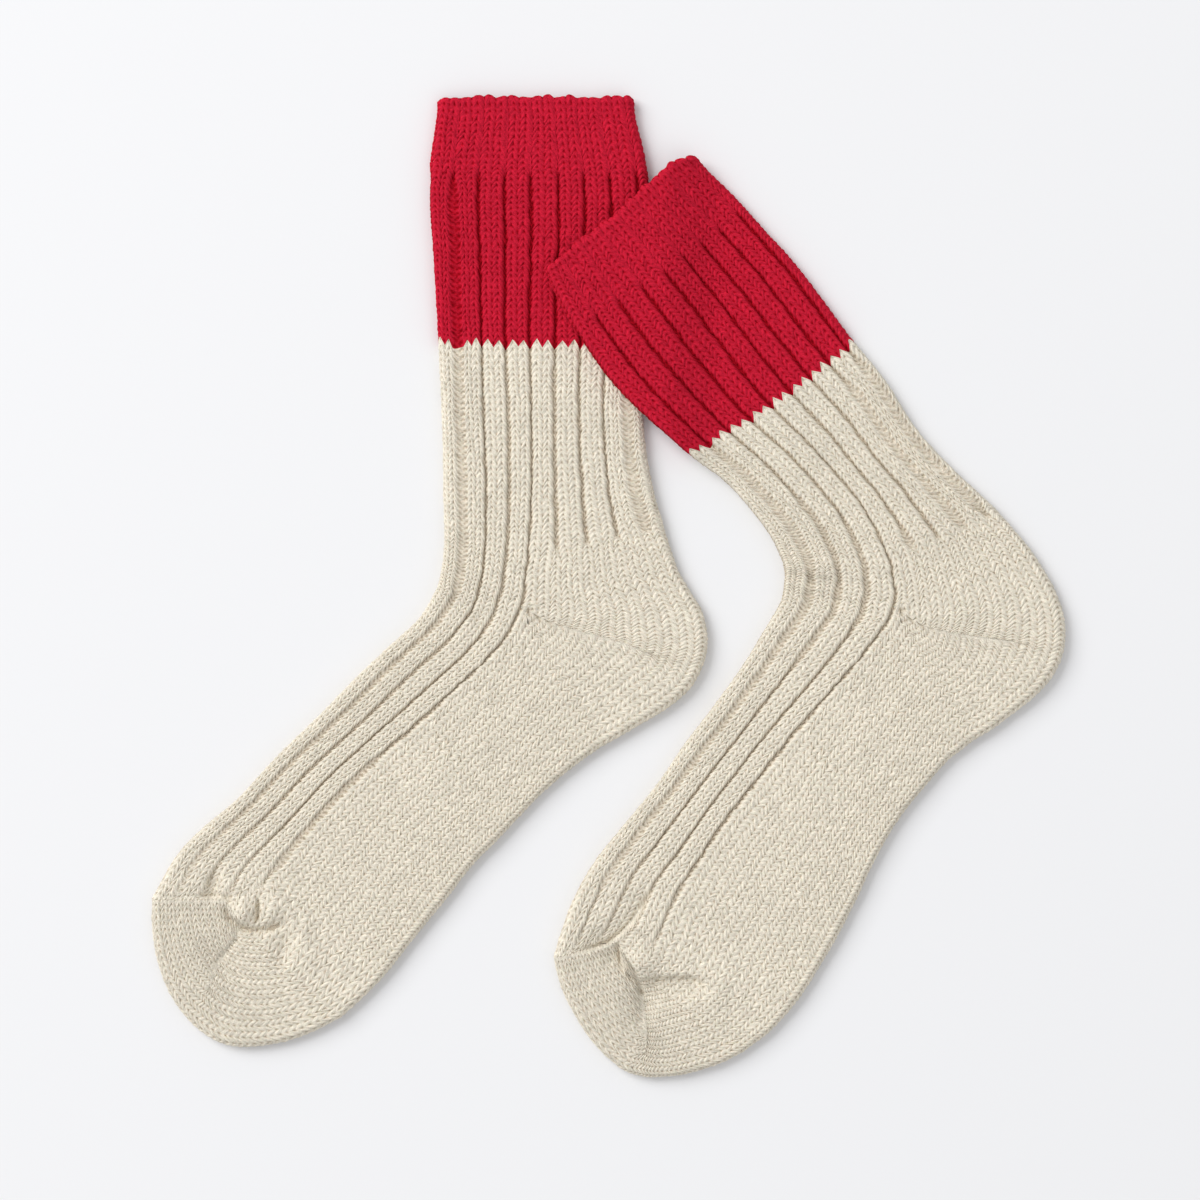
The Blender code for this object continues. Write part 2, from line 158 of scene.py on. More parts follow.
@dataclass(frozen=True)
class Sampling:
    """How finely the knitting is modelled."""

    rows: int = 5                   # rows of points in a course
    knit_columns: int = 8           # columns of faces in a knit wale
    purl_columns: int = 6
    under_columns: int = 13         # columns of points on the flat of the under layer
    fold_shares: tuple[float, ...] = (0.25, 0.5, 0.75, 1.0)
    fold_wales: float = 1.3         # wales of the under layer beside a fold that these divide
    fold_clear: float = 2.4         # wales beside a fold that the flat of the under layer leaves
    inner_courses: float = 6.0
    inner_edge: tuple[float, ...] = (0.0, 0.02, 0.05)
    inner_columns: int = 12         # columns of points on the flat of an inner face
    pocket_fold: float = 0.1        # share of a short row beside the fold that fold_shares divides
    pocket_flat: float = 0.16       # where the flat of a pocket starts
    pocket_columns: int = 9
    pocket_inner_edge: tuple[float, ...] = (0.0, 0.04, 0.09)
    pocket_inner_columns: int = 6
    pocket_inner_rows: int = 9


SAMPLING = Sampling()


UNDER_SHAFT = (
    # course, front fold, rib border, back fold
    Row(0, (-62.0, 178.5), (-28.1, 178.9), (9.2, 178.5)),
    Row(4, (-62.8, 170.1), (-28.1, 170.1), (10.2, 170.8)),
    Row(10, (-64.8, 156.2), (-28.5, 156.2), (13.7, 156.2)),
    Row(17, (-65.7, 141.6), (-28.5, 141.6), (15.3, 141.6)),
    Row(25, (-64.6, 123.4), (-28.1, 123.4), (15.0, 123.4)),
    Row(40, (-62.4, 91.3), (-28.1, 90.9), (13.5, 91.3), front_wale=0.25, back_wale=25.9),
    Row(50, (-61.0, 69.0), (-28.1, 68.6), (12.8, 68.6), front_wale=0.45, back_wale=26.4),
    Row(59, (-60.4, 51.1), (-27.9, 48.9), (13.9, 50.4), front_wale=0.45, back_wale=26.4),
    Row(67, (-60.2, 34.3), (-28.1, 31.0), (16.8, 35.0), front_wale=0.45, back_wale=26.2),
    Row(75, (-60.0, 19.0), (-29.2, 13.9), (20.4, 22.6), front_wale=0.3, back_wale=25.9),
    Row(85, (-61.3, 5.5), (-31.8, -6.9), (25.9, 6.2)),
)

UNDER_FOOT = (
    Row(0, (-61.3, 5.5), (-31.8, -6.9), (-2.6, -58.4)),
    Row(6, (-63.5, -0.7), (-37.6, -17.5), (-11.7, -65.0)),
    Row(13, (-69.7, -11.0), (-46.7, -28.1), (-21.5, -73.0)),
    Row(20, (-80.3, -20.8), (-55.8, -36.5), (-30.3, -81.8)),
    Row(29, (-93.4, -33.2), (-68.6, -48.2), (-40.2, -92.3)),
    Row(38, (-106.9, -47.1), (-82.5, -60.2), (-49.6, -101.8)),
    Row(47, (-121.2, -61.0), (-96.0, -72.3), (-57.7, -112.4)),
    Row(56, (-135.8, -76.7), (-108.4, -86.1), (-66.1, -122.6)),
    Row(64, (-147.8, -86.9), (-118.6, -98.2), (-74.1, -132.5), front_bow=-1.0),
    Row(71, (-158.0, -97.8), (-127.0, -109.5), (-82.9, -143.4), front_bow=-3.5),
    Row(77, (-166.8, -113.5), (-133.2, -123.0), (-97.1, -157.0), front_bow=-7.3),
)

UNDER_HEEL_GORE = ((-31.8, -6.9), (-21.9, -12.0), (-11.3, -15.3), (2.9, -19.3), (15.3, -24.1))
UNDER_HEEL_EDGE = (
    (25.9, 6.2), (30.7, -1.8), (34.7, -8.4), (36.5, -16.1), (36.5, -23.0), (34.7, -29.2),
    (30.7, -36.5), (23.4, -43.1), (15.3, -48.2), (6.6, -53.3), (-2.6, -58.4),
)
UNDER_TOE_GORE = ((-133.2, -123.0), (-137.6, -130.0), (-141.6, -137.0), (-146.0, -146.7))
UNDER_TOE_EDGE = (
    (-97.1, -157.0), (-108.8, -162.8), (-119.7, -166.4), (-130.7, -167.9), (-140.9, -166.8),
    (-150.7, -160.6), (-157.7, -152.6), (-162.4, -143.8), (-165.3, -134.0), (-166.8, -123.4),
    (-166.8, -113.5),
)

OVER_SHAFT = (
    Row(0, (-23.0, 115.7), (3.3, 135.8), (31.8, 157.3), back_bow=-3.0),
    Row(4, (-20.1, 109.1), (9.1, 128.5), (37.0, 151.8), back_bow=-1.0),
    Row(10, (-14.6, 97.8), (17.2, 118.3), (47.1, 142.0)),
    Row(17, (-6.9, 85.0), (25.9, 107.7), (56.2, 131.8)),
    Row(27, (5.1, 69.7), (39.1, 91.6), (69.7, 116.8)),
    Row(40, (27.7, 49.3), (58.4, 68.3), (88.7, 91.3)),
    Row(49, (41.6, 39.1), (71.9, 54.0), (101.1, 75.9)),
    Row(57, (51.5, 28.5), (83.2, 41.6), (112.8, 57.7)),
    Row(65, (58.8, 18.6), (93.4, 28.8), (127.4, 42.0)),
    Row(75, (62.8, 10.2), (101.5, 12.8), (142.0, 28.5)),
    Row(81, (63.9, 5.8), (104.2, 0.8), (149.4, 20.4)),
    Row(85, (64.2, 2.9), (104.2, -6.8), (154.0, 15.0)),
)

OVER_FOOT = (
    Row(0, (64.2, 2.9), (104.2, -6.8), (133.2, -56.2)),
    Row(3, (63.5, -1.0), (102.2, -11.4), (128.6, -59.9)),
    Row(6, (62.4, -5.1), (99.3, -15.3), (124.1, -63.5)),
    Row(13, (56.2, -15.7), (90.9, -26.6), (115.7, -73.0)),
    Row(21, (48.2, -28.8), (79.6, -39.4), (106.2, -85.0)),
    Row(30, (37.6, -43.4), (66.4, -54.4), (98.2, -98.6)),
    Row(39, (27.0, -57.3), (54.4, -69.7), (91.3, -113.2)),
    Row(48, (17.5, -71.2), (43.1, -83.6), (84.7, -126.3)),
    Row(57, (5.1, -86.5), (33.6, -98.2), (77.4, -138.7)),
    Row(65, (-5.5, -100.0), (24.5, -112.1), (70.1, -150.0), front_bow=-2.0),
    Row(72, (-13.9, -115.7), (17.2, -128.5), (60.6, -161.0), front_bow=-5.0),
    Row(79, (-20.1, -134.7), (9.5, -138.7), (50.0, -169.4), front_bow=-8.7),
)

OVER_HEEL_GORE = ((104.2, -6.8), (113.9, -13.2), (123.0, -15.7), (132.9, -17.5), (146.7, -19.3))
OVER_HEEL_EDGE = (
    (154.0, 15.0), (159.1, 7.3), (163.5, -0.4), (166.4, -8.4), (167.5, -16.8), (166.4, -24.5),
    (162.8, -32.5), (156.6, -39.4), (149.3, -45.3), (141.6, -51.1), (133.2, -56.2),
)
OVER_TOE_GORE = ((9.5, -138.7), (12.0, -144.9), (13.5, -153.0), (14.2, -160.5), (14.2, -166.0))
OVER_TOE_EDGE = (
    (50.0, -169.4), (41.6, -173.7), (32.9, -176.7), (25.0, -178.4), (17.5, -178.9), (11.7, -178.5),
    (4.4, -175.6), (-5.5, -166.4), (-13.9, -153.3), (-17.9, -144.2), (-20.1, -134.7),
)

UNDER_SWELLS = (
    Swell(-133.0, -118.2, 4.6, 3.6, 60.0, 3.0),
    Swell(-122.6, -116.8, 4.6, 4.4, 110.0, 2.3),
    Swell(-144.2, -108.6, 5.6, 2.6, 75.0, -3.0),
    Swell(-118.2, -131.4, 7.5, 3.2, 80.0, -1.9),
    Swell(-111.0, -124.0, 9.0, 3.6, 100.0, 1.1),
    Swell(12.0, -18.0, 26.0, 22.0, 0.0, 0.9),
    Swell(-142.4, -137.0, 9.5, 3.6, -45.0, -1.9),
    Swell(-149.5, -131.0, 10.0, 5.0, -50.0, 0.9),
    Swell(-133.0, -148.0, 14.0, 6.0, -20.0, 0.8),
    Swell(-70.0, -75.0, 45.0, 22.0, 43.0, 0.7),
    Swell(-46.5, -12.0, 9.0, 4.0, 62.0, -0.8),
    Swell(-10.0, 8.0, 16.0, 7.0, 10.0, 0.5),
)
OVER_SWELLS = (
    Swell(12.2, -136.5, 6.2, 5.4, 20.0, 2.3),
    Swell(1.0, -135.0, 5.0, 5.6, 70.0, -2.2),
    Swell(144.0, -18.0, 26.0, 24.0, 0.0, 0.9),
    Swell(24.0, -147.8, 12.0, 3.6, 2.0, -1.7),
    Swell(13.4, -153.0, 6.5, 3.6, 80.0, -1.9),
    Swell(2.0, -146.0, 11.0, 5.0, -60.0, 1.0),
    Swell(40.5, -146.0, 5.0, 7.0, 0.0, 1.1),
    Swell(80.0, -85.0, 45.0, 24.0, 55.0, 0.7),
    Swell(83.5, -3.0, 14.0, 4.5, -12.0, -0.6),
    Swell(75.5, 7.5, 9.0, 4.5, -10.0, 1.9),
    Swell(117.0, 22.0, 20.0, 8.0, 30.0, 0.5),
)
UNDER_CREASES = (
    Crease(((-127.4, -113.0), (-127.6, -117.5), (-128.4, -123.0)), 0.8, 2.6),
    Crease(((-141.0, -113.5), (-138.3, -120.3), (-134.0, -124.0), (-129.6, -125.0), (-125.0, -124.6),
            (-120.0, -123.0), (-116.5, -119.5)), 1.3, 2.4, step=0.8, reach=4.0),
    Crease(((-129.5, -107.6), (-121.5, -110.6), (-116.0, -117.5), (-113.6, -127.0)), 1.9, -1.0),
    Crease(((-152.0, -113.0), (-144.6, -112.2), (-139.0, -113.0), (-135.4, -117.5)), 1.1, 1.5),
    Crease(((-167.0, -113.4), (-157.0, -113.0), (-149.0, -112.6)), 0.9, 0.4),
    Crease(((-133.5, -126.0), (-138.0, -131.5), (-144.0, -138.0)), 1.1, 0.9),
    Crease(((-60.0, -4.0), (-50.0, -8.5), (-42.0, -16.0)), 1.6, 0.7),
)
OVER_CREASES = (
    Crease(((16.5, -108.0), (12.2, -117.0), (7.6, -123.4), (3.6, -126.8), (0.2, -129.4), (-5.0, -131.4),
            (-15.0, -133.6)), 0.9, 1.7, step=2.2, reach=5.5),
    Crease(((3.8, -128.0), (4.2, -135.0), (6.2, -142.0)), 0.9, 1.4, step=1.2, reach=3.0),
    Crease(((5.2, -139.6), (8.8, -142.6), (11.5, -145.2), (13.0, -150.5)), 1.1, 2.2),
    Crease(((10.0, -143.2), (20.8, -142.5), (29.9, -142.2), (34.5, -144.0), (38.0, -148.0)),
           1.0, 1.1, step=2.0, reach=5.0),
    Crease(((62.5, 5.4), (66.8, 5.8), (70.0, 5.0), (71.4, 2.9), (75.0, 1.8), (82.4, 1.7), (88.5, 3.0)),
           0.6, 0.7, step=1.7, reach=6.0),
)
UNDER_OPENINGS = (
    Opening(1, 13.0, 88.0, 0.66),
    Opening(1, 88.0, 158.0, 0.45),
    Opening(8, 26.0, 74.0, 0.70),
    Opening(3, 44.0, 90.0, 0.24),
    Opening(5, 42.0, 80.0, 0.22),
    Opening(2, 96.0, 146.0, 0.26),
    Opening(4, 122.0, 150.0, 0.40),
)
OVER_OPENINGS = (
    Opening(1, 40.0, 152.0, 0.55),
    Opening(1, 44.0, 73.0, 0.68),
    Opening(1, 77.0, 82.0, 0.36),
    Opening(2, 56.0, 100.0, 0.42),
    Opening(2, 76.0, 81.0, 0.24),
    Opening(3, 66.0, 90.0, 0.36),
    Opening(5, 70.0, 84.0, 0.55),
    Opening(7, 44.0, 74.0, 0.66),
    Opening(8, 42.0, 72.0, 0.70),
)


def ease(share: Array | float) -> Array:
    """An easing from 0 to 1 that is level at both ends."""
    share = np.clip(share, 0.0, 1.0)
    return share * share * (3.0 - 2.0 * share)


def unit(vectors: Array) -> Array:
    """Vectors at length 1."""
    return vectors / np.linalg.norm(vectors, axis=-1, keepdims=True)


def length_of(points: Array) -> float:
    """The length of a line through points."""
    return float(np.linalg.norm(np.diff(points, axis=0), axis=1).sum())


def nearest_groove(wale: Array) -> Array:
    """The number of the groove that is nearest to each wale."""
    return np.clip(np.round(wale / FABRIC.rib_wales), 0, FABRIC.grooves - 1).astype(int)


def beside_back(share: Array) -> Array:
    """How far the under layer's courses follow the back fold's, across the sock."""
    return ease(2.2 * share - 1.2)


def on_sole(column: Array) -> Array:
    """How far each stitch column lies on the heel's and the sole's side of the rib border."""
    return ease((column - FABRIC.border_wale - 1) / FABRIC.sole_ease)


def scatter(*keys: Array | float) -> Array:
    """Repeatable values from 0 to 1, one for each set of whole numbers."""
    weights = (12.9898, 78.233, 37.719)
    mixed = sum(key * weight for key, weight in zip(keys, weights))
    value = np.sin(mixed) * 43758.5453
    return value - np.floor(value)


def drift(seed: float, across: Array, along: Array) -> Array:
    """Smooth repeatable noise from -1 to 1, with about one swing in each unit of its places."""
    column, row = np.floor(across), np.floor(along)
    near, far = ease(across - column), ease(along - row)
    low = scatter(column, row, seed) * (1 - near) + scatter(column + 1, row, seed) * near
    high = scatter(column, row + 1, seed) * (1 - near) + scatter(column + 1, row + 1, seed) * near
    return 2 * (low * (1 - far) + high * far) - 1


def curve_through(points: Array, position: Array) -> Array:
    """Points of a smooth curve through given ones.

    Args:
        points: the plan points that the curve passes.
        position: places along it, with one unit from each point to the next.

    Returns:
        The plan points there.
    """
    index = np.clip(position.astype(int), 0, len(points) - 2)
    share = (position - index)[..., None]
    padded = np.vstack((2 * points[0] - points[1], points, 2 * points[-1] - points[-2]))
    before, near, far, after = (padded[index + step] for step in range(4))
    return 0.5 * (
        2 * near
        + (far - before) * share
        + (2 * before - 5 * near + 4 * far - after) * share ** 2
        + (3 * near - before - 3 * far + after) * share ** 3
    )


def rounded_bow(share: Array) -> Array:
    """A bow along a line that is 0 at both ends and turns softly at its peak."""
    rising = np.clip(share / FABRIC.bow_peak, 1e-6, None)
    falling = np.clip((1 - share) / (1 - FABRIC.bow_peak), 1e-6, None)
    power = FABRIC.bow_round
    return (rising ** -power + falling ** -power) ** (-1 / power)


def inset_point(edge: Array, inner: Array) -> Array:
    """Points of the outline moved in by the knitting's relief, which the surface adds again."""
    return edge + unit(inner - edge) * FABRIC.edge_inset


class CourseLines:
    """Course lines across the flat sock, one for each place in an array of courses."""

    def __init__(self, rows: tuple[Row, ...], courses: Array) -> None:
        """Read the lines from a smooth surface through the rows of a table.

        Args:
            rows: the table.
            courses: the courses that are wanted.
        """
        knots = np.array([row.course for row in rows])
        index = np.clip(np.searchsorted(knots, courses, side="right") - 1, 0, len(rows) - 2)
        self.position = index + (courses - knots[index]) / (knots[index + 1] - knots[index])
        self.rows = rows
        self.border = self.smooth("border")
        self.front = inset_point(self.smooth("front"), self.border)
        self.back = inset_point(self.smooth("back"), self.border)
        self.front_wale = self.straight("front_wale")
        self.back_wale = self.straight("back_wale")
        self.front_length = np.linalg.norm(self.border - self.front, axis=-1)
        self.span = self.front_length + np.linalg.norm(self.back - self.border, axis=-1)

    def smooth(self, name: str) -> Array:
        """A plan point of the table at every course, along a smooth curve."""
        return curve_through(np.array([getattr(row, name) for row in self.rows]), self.position)

    def straight(self, name: str) -> Array:
        """A number of the table at every course, along straight lines."""
        return np.interp(self.position, range(len(self.rows)), [getattr(row, name) for row in self.rows])

    @staticmethod
    def bowed(start: Array, end: Array, share: Array, bow: Array) -> Array:
        """Points along straight lines that are bowed to the right."""
        along = unit(end - start)
        right = np.stack((along[..., 1], -along[..., 0]), axis=-1)
        line = start + (end - start) * share[..., None]
        return line + right * (bow * rounded_bow(share))[..., None]

    def front_half(self, share: Array) -> Array:
        """Plan points between the front fold, at 0, and the rib border, at 1."""
        return self.bowed(self.front, self.border, share, self.straight("front_bow"))

    def back_half(self, share: Array) -> Array:
        """Plan points between the rib border, at 0, and the back fold, at 1."""
        return self.bowed(self.border, self.back, share, self.straight("back_bow"))

    def at(self, distance: Array) -> Array:
        """Plan points at distances in from the front fold."""
        front = self.front_half(np.clip(distance / self.front_length, 0, 1))
        beyond = (distance - self.front_length) / (self.span - self.front_length)
        back = self.back_half(np.clip(beyond, 0, 1))
        return np.where((distance <= self.front_length)[..., None], front, back)


def fold_profile(arc: Array) -> tuple[Array, Array, Array, Array]:
    """Where arc lengths from a fold's extreme lie, on the upper layer.

    Args:
        arc: arc lengths, with 0 at the extreme.

    Returns:
        The distance in from the fold, the height, and the outward and upward parts of the normal.
    """
    radius = FABRIC.fold_radius
    turn = np.minimum(arc / radius, math.pi / 2)
    beyond = np.maximum(arc - FABRIC.fold_arc, 0.0)
    inset = radius * (1 - np.cos(turn)) + beyond
    return inset, radius * (1 + np.sin(turn)), np.cos(turn), np.sin(turn)


@dataclass
class SockForm:
    """The lie of one sock: its tables, and how its flat layers rise and fall."""

    name: str
    shaft: tuple[Row, ...]
    foot: tuple[Row, ...]
    heel_gore: tuple[tuple[float, float], ...]
    heel_edge: tuple[tuple[float, float], ...]
    toe_gore: tuple[tuple[float, float], ...]
    toe_edge: tuple[tuple[float, float], ...]
    swells: tuple[Swell, ...]
    creases: tuple[Crease, ...]
    openings: tuple[Opening, ...]
    carry_height: float = 0.0
    carry_edge: float = 18.5
    carry_drop: float = 24.0
    bend_courses: float = 7.0       # courses on each side of the ankle's bend
    bend_steps: tuple[float, ...] = (-0.8, -0.4, 0.0, 0.4, 0.8)
    inner_dip: float = -1.0         # the deepest dip that the inner face follows
    crease_taper: float = 0.25      # share of a crease's length over which each end fades

    def table(self, stretch: Stretch) -> tuple[Row, ...]:
        """The table of course lines of the shaft or the foot."""
        return self.shaft if stretch is Stretch.SHAFT else self.foot

    def lift(self, plan: Array) -> Array:
        """How high the underside lies above the surface."""
        raised = ease((self.carry_edge + self.carry_drop - plan[..., 0]) / self.carry_drop)
        return np.where(plan[..., 1] < 0, 0.0, self.carry_height * raised)

    def swelling(self, plan: Array) -> Array:
        """How far the upper layer is swollen, hollowed and creased."""
        height = np.zeros(plan.shape[:-1])
        for form in self.swells:
            turn = math.radians(form.angle)
            away = plan - np.array((form.x, form.y))
            along = (away[..., 0] * math.cos(turn) + away[..., 1] * math.sin(turn)) / form.length
            across = (away[..., 1] * math.cos(turn) - away[..., 0] * math.sin(turn)) / form.width
            height += form.height * np.exp(-along ** 2 - across ** 2)
        for crease in self.creases:
            height += self.crease_height(crease, plan)
        return height

    def crease_height(self, crease: Crease, plan: Array) -> Array:
        """The height that one crease adds, fading out at its ends.

        Args:
            crease: the crease.
            plan: plan points.
        """
        points = np.array(crease.points)
        lengths = np.linalg.norm(np.diff(points, axis=0), axis=1)
        nearest = np.full(plan.shape[:-1], np.inf)
        signed, along = np.zeros_like(nearest), np.zeros_like(nearest)
        run = 0.0
        for start, end, length in zip(points[:-1], points[1:], lengths):
            direction = (end - start) / length
            away = plan - start
            reached = np.clip(away @ direction, 0.0, length)
            offset = away - reached[..., None] * direction
            distance = np.linalg.norm(offset, axis=-1)
            side = np.sign(direction[1] * away[..., 0] - direction[0] * away[..., 1])
            closer = distance < nearest
            nearest = np.where(closer, distance, nearest)
            signed = np.where(closer, distance * side, signed)
            along = np.where(closer, run + reached, along)
            run += length
        taper = ease(np.minimum(along, run - along) / (self.crease_taper * run))
        trough = crease.depth * np.exp(-(nearest / crease.width) ** 2)
        drop = crease.step * ease(0.5 + signed / (2 * crease.width))
        drop = drop * np.exp(-(np.maximum(signed, 0) / crease.reach) ** 2)
        return -taper * (trough + drop)

    def place(self, plan: Array, outward: Array, profile: tuple[Array, Array, Array],
              layer: Layer, relief: Array, depth: float) -> Array:
        """Points of the surface, in metres.

        Args:
            plan: plan points.
            outward: plan directions out over the nearest fold.
            profile: the height and the outward and upward parts of the normal.
            layer: the layer that the points are on.
            relief: how far the knitting stands up there.
            depth: how far below the face the points are.

        Returns:
            The points, with the pair's centre at the origin.
        """
        height, out, up = profile
        if layer is Layer.UPPER:
            swelling = self.swelling(plan)
            if depth > 0:
                swelling = np.maximum(swelling, self.inner_dip)
            height = height + swelling * up ** 2
            raised = relief - depth
        else:
            height = 2 * FABRIC.fold_radius - height
            raised = relief * (1 - up) - depth
            up = -up
        spot = plan + outward * (out * raised)[..., None] - PLAN_CENTRE
        level = height + up * raised + self.lift(plan)
        return np.concatenate((spot, level[..., None]), axis=-1) * MM

    def tube_points(self, stretch: Stretch, course: Array, wale: Array, layer: Layer,
                    relief: Array, depth: float) -> Array:
        """Points of a tube, in metres, at places in courses and wales."""
        lines = CourseLines(self.table(stretch), course)
        spare = FABRIC.fold_arc - FABRIC.fold_radius
        total_arc = lines.span + 2 * spare
        border_arc = lines.front_length + spare
        border = FABRIC.border_wale
        front_share = (wale - lines.front_wale) / (border - lines.front_wale)
        back_share = (wale - border) / (lines.back_wale - border)
        arc = np.where(wale <= border, border_arc * front_share,
                       border_arc + (total_arc - border_arc) * back_share)
        at_front = arc < total_arc / 2
        inset, height, out, up = fold_profile(np.maximum(np.where(at_front, arc, total_arc - arc), 0))
        plan = lines.at(np.where(at_front, inset, lines.span - inset))
        edge = np.where(at_front[..., None], lines.front, lines.back)
        return self.place(plan, unit(edge - lines.border), (height, out, up), layer, relief, depth)

    def run_points(self, along: Array, wale: Array, layer: Layer, relief: Array, depth: float) -> Array:
        """Points of the shaft and the foot, which meet in a soft bend at the ankle.

        Args:
            along: courses counted from the top.
            wale: the wales.
            layer: the layer that the points are on.
            relief: how far the knitting stands up there.
            depth: how far below the face they are.

        Returns:
            The points, in metres.
        """
        along, wale = np.broadcast_arrays(along, wale)
        relief = np.broadcast_to(relief, along.shape)
        ankle = Stretch.FOOT.value

        def either(places: Array, chosen: Array) -> Array:
            """Points of the shaft or the foot at places of the chosen points."""
            found = np.empty((*places.shape, 3))
            for stretch, belongs in ((Stretch.SHAFT, places <= ankle), (Stretch.FOOT, places > ankle)):
                found[belongs] = self.tube_points(stretch, places[belongs] - stretch.value,
                                                  wale[chosen][belongs], layer,
                                                  relief[chosen][belongs], depth)
            return found

        everywhere = np.ones(along.shape, dtype=bool)
        points = either(along[everywhere], everywhere).reshape(*along.shape, 3)
        room = np.maximum(self.bend_courses - np.abs(along - ankle), 0)
        weight = ease((FABRIC.border_wale - wale) / FABRIC.border_ease)
        bent = (room > 0) & (weight > 0)
        if bent.any():
            moved = (either(along[bent] + step * room[bent], bent) for step in self.bend_steps)
            smooth = sum(moved) / len(self.bend_steps)
            points[bent] += (smooth - points[bent]) * weight[bent][:, None]
        return points


@dataclass
class RibPattern:
    """The two by one rib: where its purl grooves are, how wide they lie open and how deep."""

    openings: tuple[Opening, ...]
    closed: float = 0.15            # half width of a closed groove, in wales
    hidden: float = 0.06            # and of one that the welt hides
    welt_end: float = 9.5
    welt_fade: float = 2.5
    back_end: float = 74.5          # the course where the ribs of the leg's back half stop
    back_fade: float = 3.0
    opening_fade: float = 5.0
    closed_depth: float = 0.9
    open_depth: float = 0.5
    open_width: float = 0.7         # half width at which a groove is as shallow as that
    welt_depth: float = 0.04
    shoulder: float = 0.34          # wales from a groove's side to the rib's crown
    roundness: float = 0.26         # how far a rib falls from its middle to its sides
    floor_share: float = 0.8        # share of a groove's width that is its flat floor
    hide_width: float = 0.06        # wider than hidden by this, and its purl bars show
    hide_level: float = 0.6

    def purl(self, along: Array) -> Array:
        """How far each groove is a purl wale, from 0 where the knitting is plain to 1."""
        count = np.arange(FABRIC.grooves)
        fade = ease((self.back_end + self.back_fade / 2 - along[:, None]) / self.back_fade)
        is_back = count[None, :] * FABRIC.rib_wales > FABRIC.border_wale
        return np.where(is_back, fade, 1.0)

    def half_widths(self, along: Array) -> Array:
        """Half the width of each groove, in wales, at courses counted from the top."""
        welt = ease((along[:, None] - self.welt_end) / self.welt_fade)
        widths = np.repeat(self.hidden + (self.closed - self.hidden) * welt, FABRIC.grooves, axis=1)
        for opening in self.openings:
            share = ease((along - opening.first) / self.opening_fade + 0.5)
            share = share * ease((opening.last - along) / self.opening_fade + 0.5)
            now = widths[:, opening.groove]
            widths[:, opening.groove] = now + (opening.half_width - now) * share
        purl = self.purl(along)
        widths = 0.5 + (widths - 0.5) * purl
        widths[:, (0, -1)] = 0.5
        return widths

    def depths(self, along: Array, widths: Array) -> Array:
        """How deep each groove is, in millimetres."""
        openness = np.clip((widths - self.closed) / (self.open_width - self.closed), 0, 1)
        depth = self.closed_depth + (self.open_depth - self.closed_depth) * openness
        welt = ease((along[:, None] - self.welt_end) / self.welt_fade)
        return (self.welt_depth + (depth - self.welt_depth) * welt) * self.purl(along)

    @staticmethod
    def knots(widths: Array) -> tuple[Array, Array]:
        """Stitch columns and the wales where they lie, at every edge of a stitch.

        Args:
            widths: the grooves' half widths, a row for each course.

        Returns:
            The columns, and the wales for each course.
        """
        start = np.arange(FABRIC.grooves) * FABRIC.rib_wales
        columns, wales = [], []
        for rib in range(FABRIC.grooves):
            low, high = start[rib] - widths[:, rib], start[rib] + widths[:, rib]
            columns += [start[rib] - 0.5, start[rib] + 0.5]
            wales += [low, high]
            if rib + 1 < FABRIC.grooves:
                following = start[rib + 1] - widths[:, rib + 1]
                columns.append(start[rib] + 1.5)
                wales.append((high + following) / 2)
        return np.array(columns), np.stack(wales, axis=1)


@dataclass(frozen=True)
class Stitches:
    """What the knitting is at points of a surface."""

    form: Array                     # height, as a share of a stitch's
    # how far each place lies in a pit, which sets the painted shade there
    pit: Array
    reach: Array                    # place between a wale's middle, at 0, and its side, at 1
    side: Array                     # -1 or 1, for the stitch's left or right leg
    lift: Array                     # millimetres that a leg stands higher
    tone: Array


